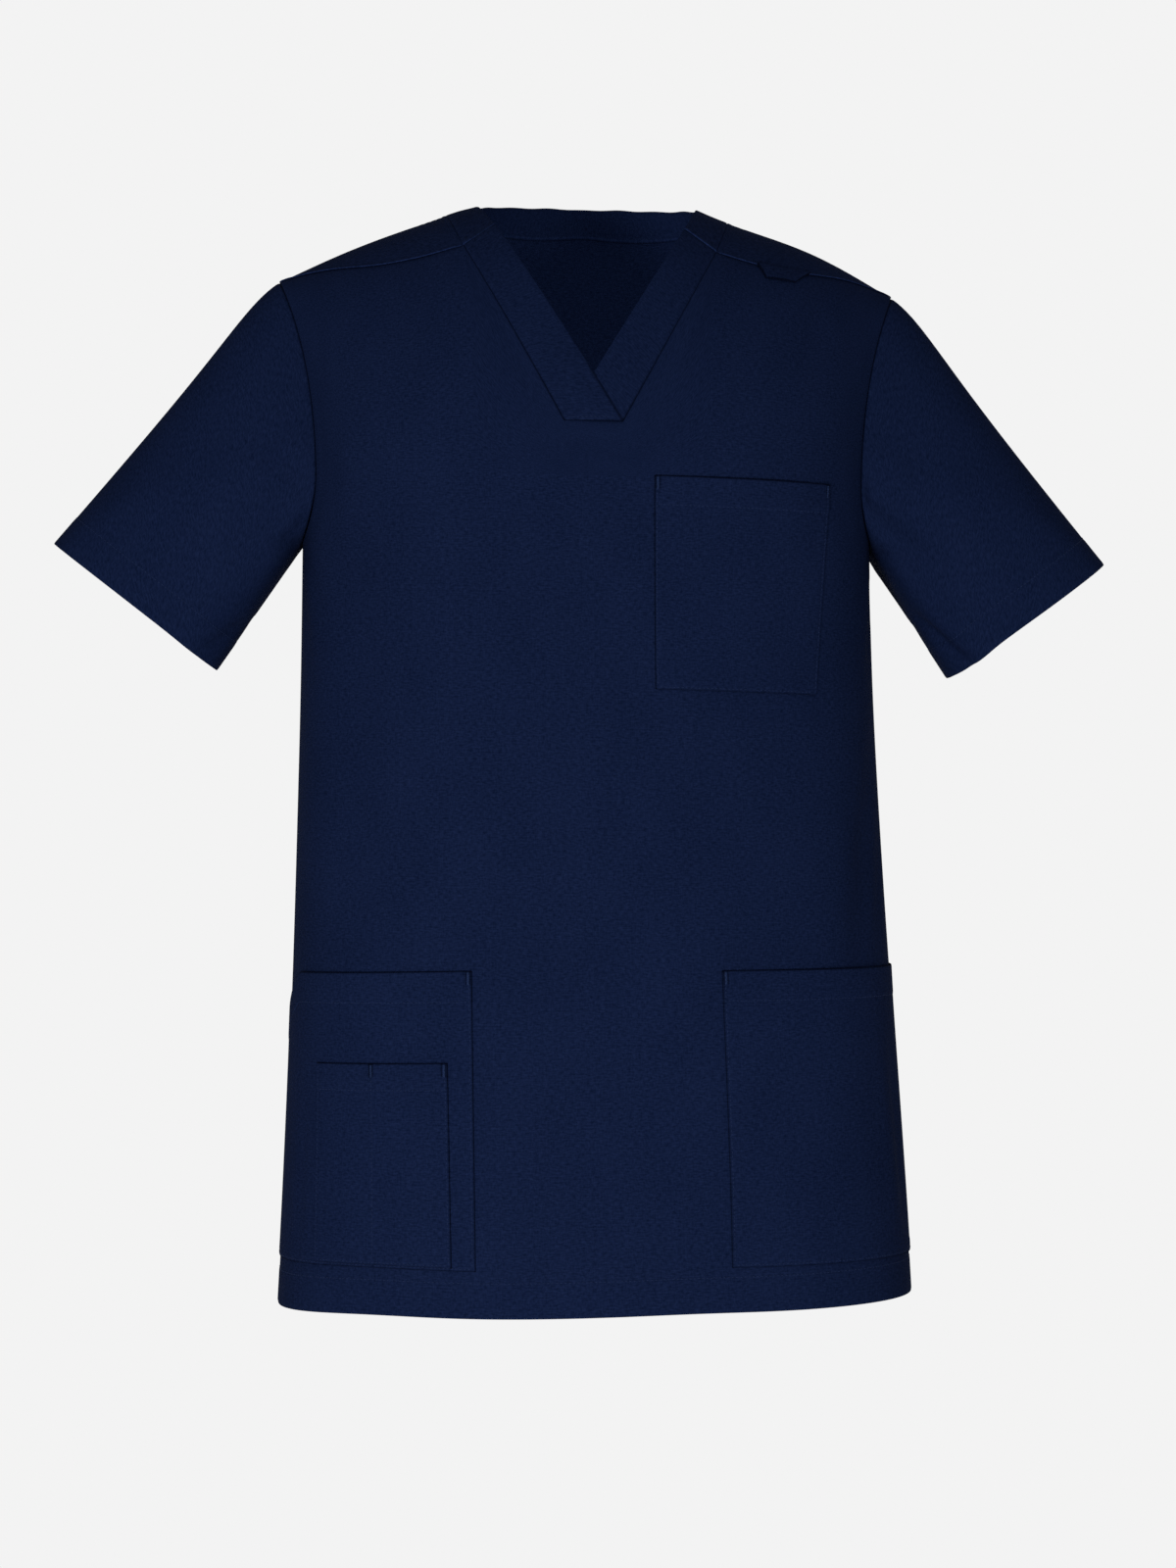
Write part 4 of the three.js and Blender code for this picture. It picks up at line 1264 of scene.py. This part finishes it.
def loop_points(out):
    x = mix(mix(*LOOP_TOP, LOOP_SHARES), mix(*LOOP_FOOT, LOOP_SHARES), LOOP_DOWN)
    across, turn = place_in_plan(x, shoulder_seam_y(x))
    stand = out + LOOP_STAND * np.sin(np.pi * LOOP_SHARES) * LOOP_DOWN
    stand = stand - LOOP_FOOT_DIP * bump(FROM_LOOP_FOOT, 1)
    return shoulder_points(1, across, turn - np.radians(LOOP_DROP_DEGREES * LOOP_DOWN), stand)


def make_badge_loop():
    from_side = np.minimum(LOOP_SHARES, 1 - LOOP_SHARES) * LOOP_WIDTH
    # Painted shade along the loop's foot and sides
    tone = painted_line_tone(np.minimum(FROM_LOOP_FOOT, from_side), PAINTED_SEAM_SHADE)
    coordinates = (LOOP_SHARES * LOOP_CUT, LOOP_DOWN * LOOP_LENGTH)
    shell = cloth_piece(
        "badge_loop", loop_points(LIFT + DOUBLE), loop_points(LIFT), "band_cloth", coordinates, tone)


# Floor and background, in metres
WHITE = (1, 1, 1, 1)
BLACK = (0, 0, 0, 1)
PAPER = 0.896
AMBIENT = 0.405
FLOOR_HALF = 30.0
FLOOR_LEVEL = -1.4


def pale_floor():
    """A floor that glows as paper white as the background, and lights nothing."""
    mesh = bpy.data.meshes.new("floor")
    corners = ((-1, -1), (1, -1), (1, 1), (-1, 1))
    mesh.from_pydata(
        [(x * FLOOR_HALF, y * FLOOR_HALF, FLOOR_LEVEL) for x, y in corners], [], [(0, 1, 2, 3)])
    floor = bpy.data.objects.new("floor", mesh)
    material, tree, shader = new_material("pale_floor")
    set_sockets(tree, shader, {
        "Base Color": BLACK, "Specular IOR Level": 0,
        "Emission Color": WHITE, "Emission Strength": PAPER})
    mesh.materials.append(material)
    bpy.context.scene.collection.objects.link(floor)
    floor.visible_diffuse = False
    floor.visible_glossy = False


def pale_world():
    """Even paper white behind the top, and a dimmer even light on it."""
    world = bpy.data.worlds.new("pale_world")
    world.use_nodes = True
    tree = world.node_tree
    light = set_sockets(
        tree, tree.nodes["Background"], {"Color": WHITE, "Strength": AMBIENT})
    paper = add_node(tree, "ShaderNodeBackground", {"Color": WHITE, "Strength": PAPER})
    path = tree.nodes.new("ShaderNodeLightPath")
    choice = add_node(tree, "ShaderNodeMixShader", {
        "Fac": path.outputs["Is Camera Ray"],
        1: light.outputs["Background"], 2: paper.outputs["Background"]})
    set_sockets(tree, tree.nodes["World Output"], {"Surface": choice.outputs["Shader"]})
    bpy.context.scene.world = world


# Soft boxes, in metres and watts
LIGHTS = named_rows(("name", "place", "aim", "size", "power", "glossy"), [
    ("key", (-0.85, -2.1, -1.05), (0, 0, -0.45), 0.6, 34, True),
    ("fill", (0.55, -2.2, -1.05), (0, 0, -0.5), 0.6, 12.5, True),
    ("back", (0.3, 2.8, -0.6), (0, 0, -0.4), 1.2, 45, False),
    ("inside", (0, -0.03, -0.15), (0, 0.12, -0.04), 0.2, 0.16, False),
])


def soft_light(name, place, aim, size, power, glossy):
    """A square soft box, which isn't seen itself."""
    data = bpy.data.lights.new(name, "AREA")
    data.size = size
    data.energy = power
    light = bpy.data.objects.new(name, data)
    light.location = place
    direction = np.array(aim) - np.array(place)
    light.rotation_mode = "QUATERNION"
    light.rotation_quaternion = Vector(direction).to_track_quat("-Z", "Y")
    light.visible_camera = False
    light.visible_glossy = glossy
    bpy.context.scene.collection.objects.link(light)


# Camera, level with the middle of the top, with the top turned a little to its left
CAMERA_DISTANCE = 2.8
CAMERA_LEVEL = -0.3774
CAMERA_ASIDE = 0.0014
CAMERA_TURN = math.radians(-2.3)
PICTURE_ROWS = 1600
MILLIMETRES_A_ROW = 0.69
FRAME_HEIGHT = PICTURE_ROWS * MILLIMETRES_A_ROW * MM
SENSOR = 36.0


def set_camera():
    data = bpy.data.cameras.new("camera")
    data.sensor_width = SENSOR
    data.lens = SENSOR * CAMERA_DISTANCE / FRAME_HEIGHT
    camera = bpy.data.objects.new("camera", data)
    across, ahead = math.cos(CAMERA_TURN), math.sin(CAMERA_TURN)
    camera.location = (
        ahead * CAMERA_DISTANCE + across * CAMERA_ASIDE,
        -across * CAMERA_DISTANCE + ahead * CAMERA_ASIDE,
        CAMERA_LEVEL)
    camera.rotation_euler = (math.pi / 2, 0, CAMERA_TURN)
    bpy.context.scene.collection.objects.link(camera)
    bpy.context.scene.camera = camera
    bpy.context.scene.view_settings.view_transform = "Standard"


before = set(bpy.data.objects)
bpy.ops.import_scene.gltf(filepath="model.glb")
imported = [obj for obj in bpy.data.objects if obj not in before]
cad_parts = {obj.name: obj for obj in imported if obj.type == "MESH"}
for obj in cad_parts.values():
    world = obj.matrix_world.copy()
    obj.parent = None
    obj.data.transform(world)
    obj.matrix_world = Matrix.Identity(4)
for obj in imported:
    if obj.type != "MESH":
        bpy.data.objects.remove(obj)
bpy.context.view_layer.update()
cloths = {
    "body_cloth": cloth_material("body_cloth", 1.0),
    "band_cloth": cloth_material("band_cloth", 0.97),
    "pocket_cloth": cloth_material("pocket_cloth", 1.02),
}
thread_navy = thread_material("thread_navy", THREAD_NAVY)
tack_navy = thread_material("tack_navy", TACK_NAVY)

# All stitches draw on the same random numbers, so the order of the pieces is part of their look
make_panel("front", FRONT)
make_panel("back", BACK)
for sleeve in SLEEVES:
    make_sleeve(sleeve)
make_front_band("neck_band_right", -1, OVER_REACH, 1)
make_front_band("neck_band_left", 1, UNDER_BAND_END, 0)
make_back_band()
for facts in POCKETS:
    make_pocket(facts)
make_badge_loop()

pale_floor()
pale_world()
for light in LIGHTS:
    soft_light(**light)
set_camera()
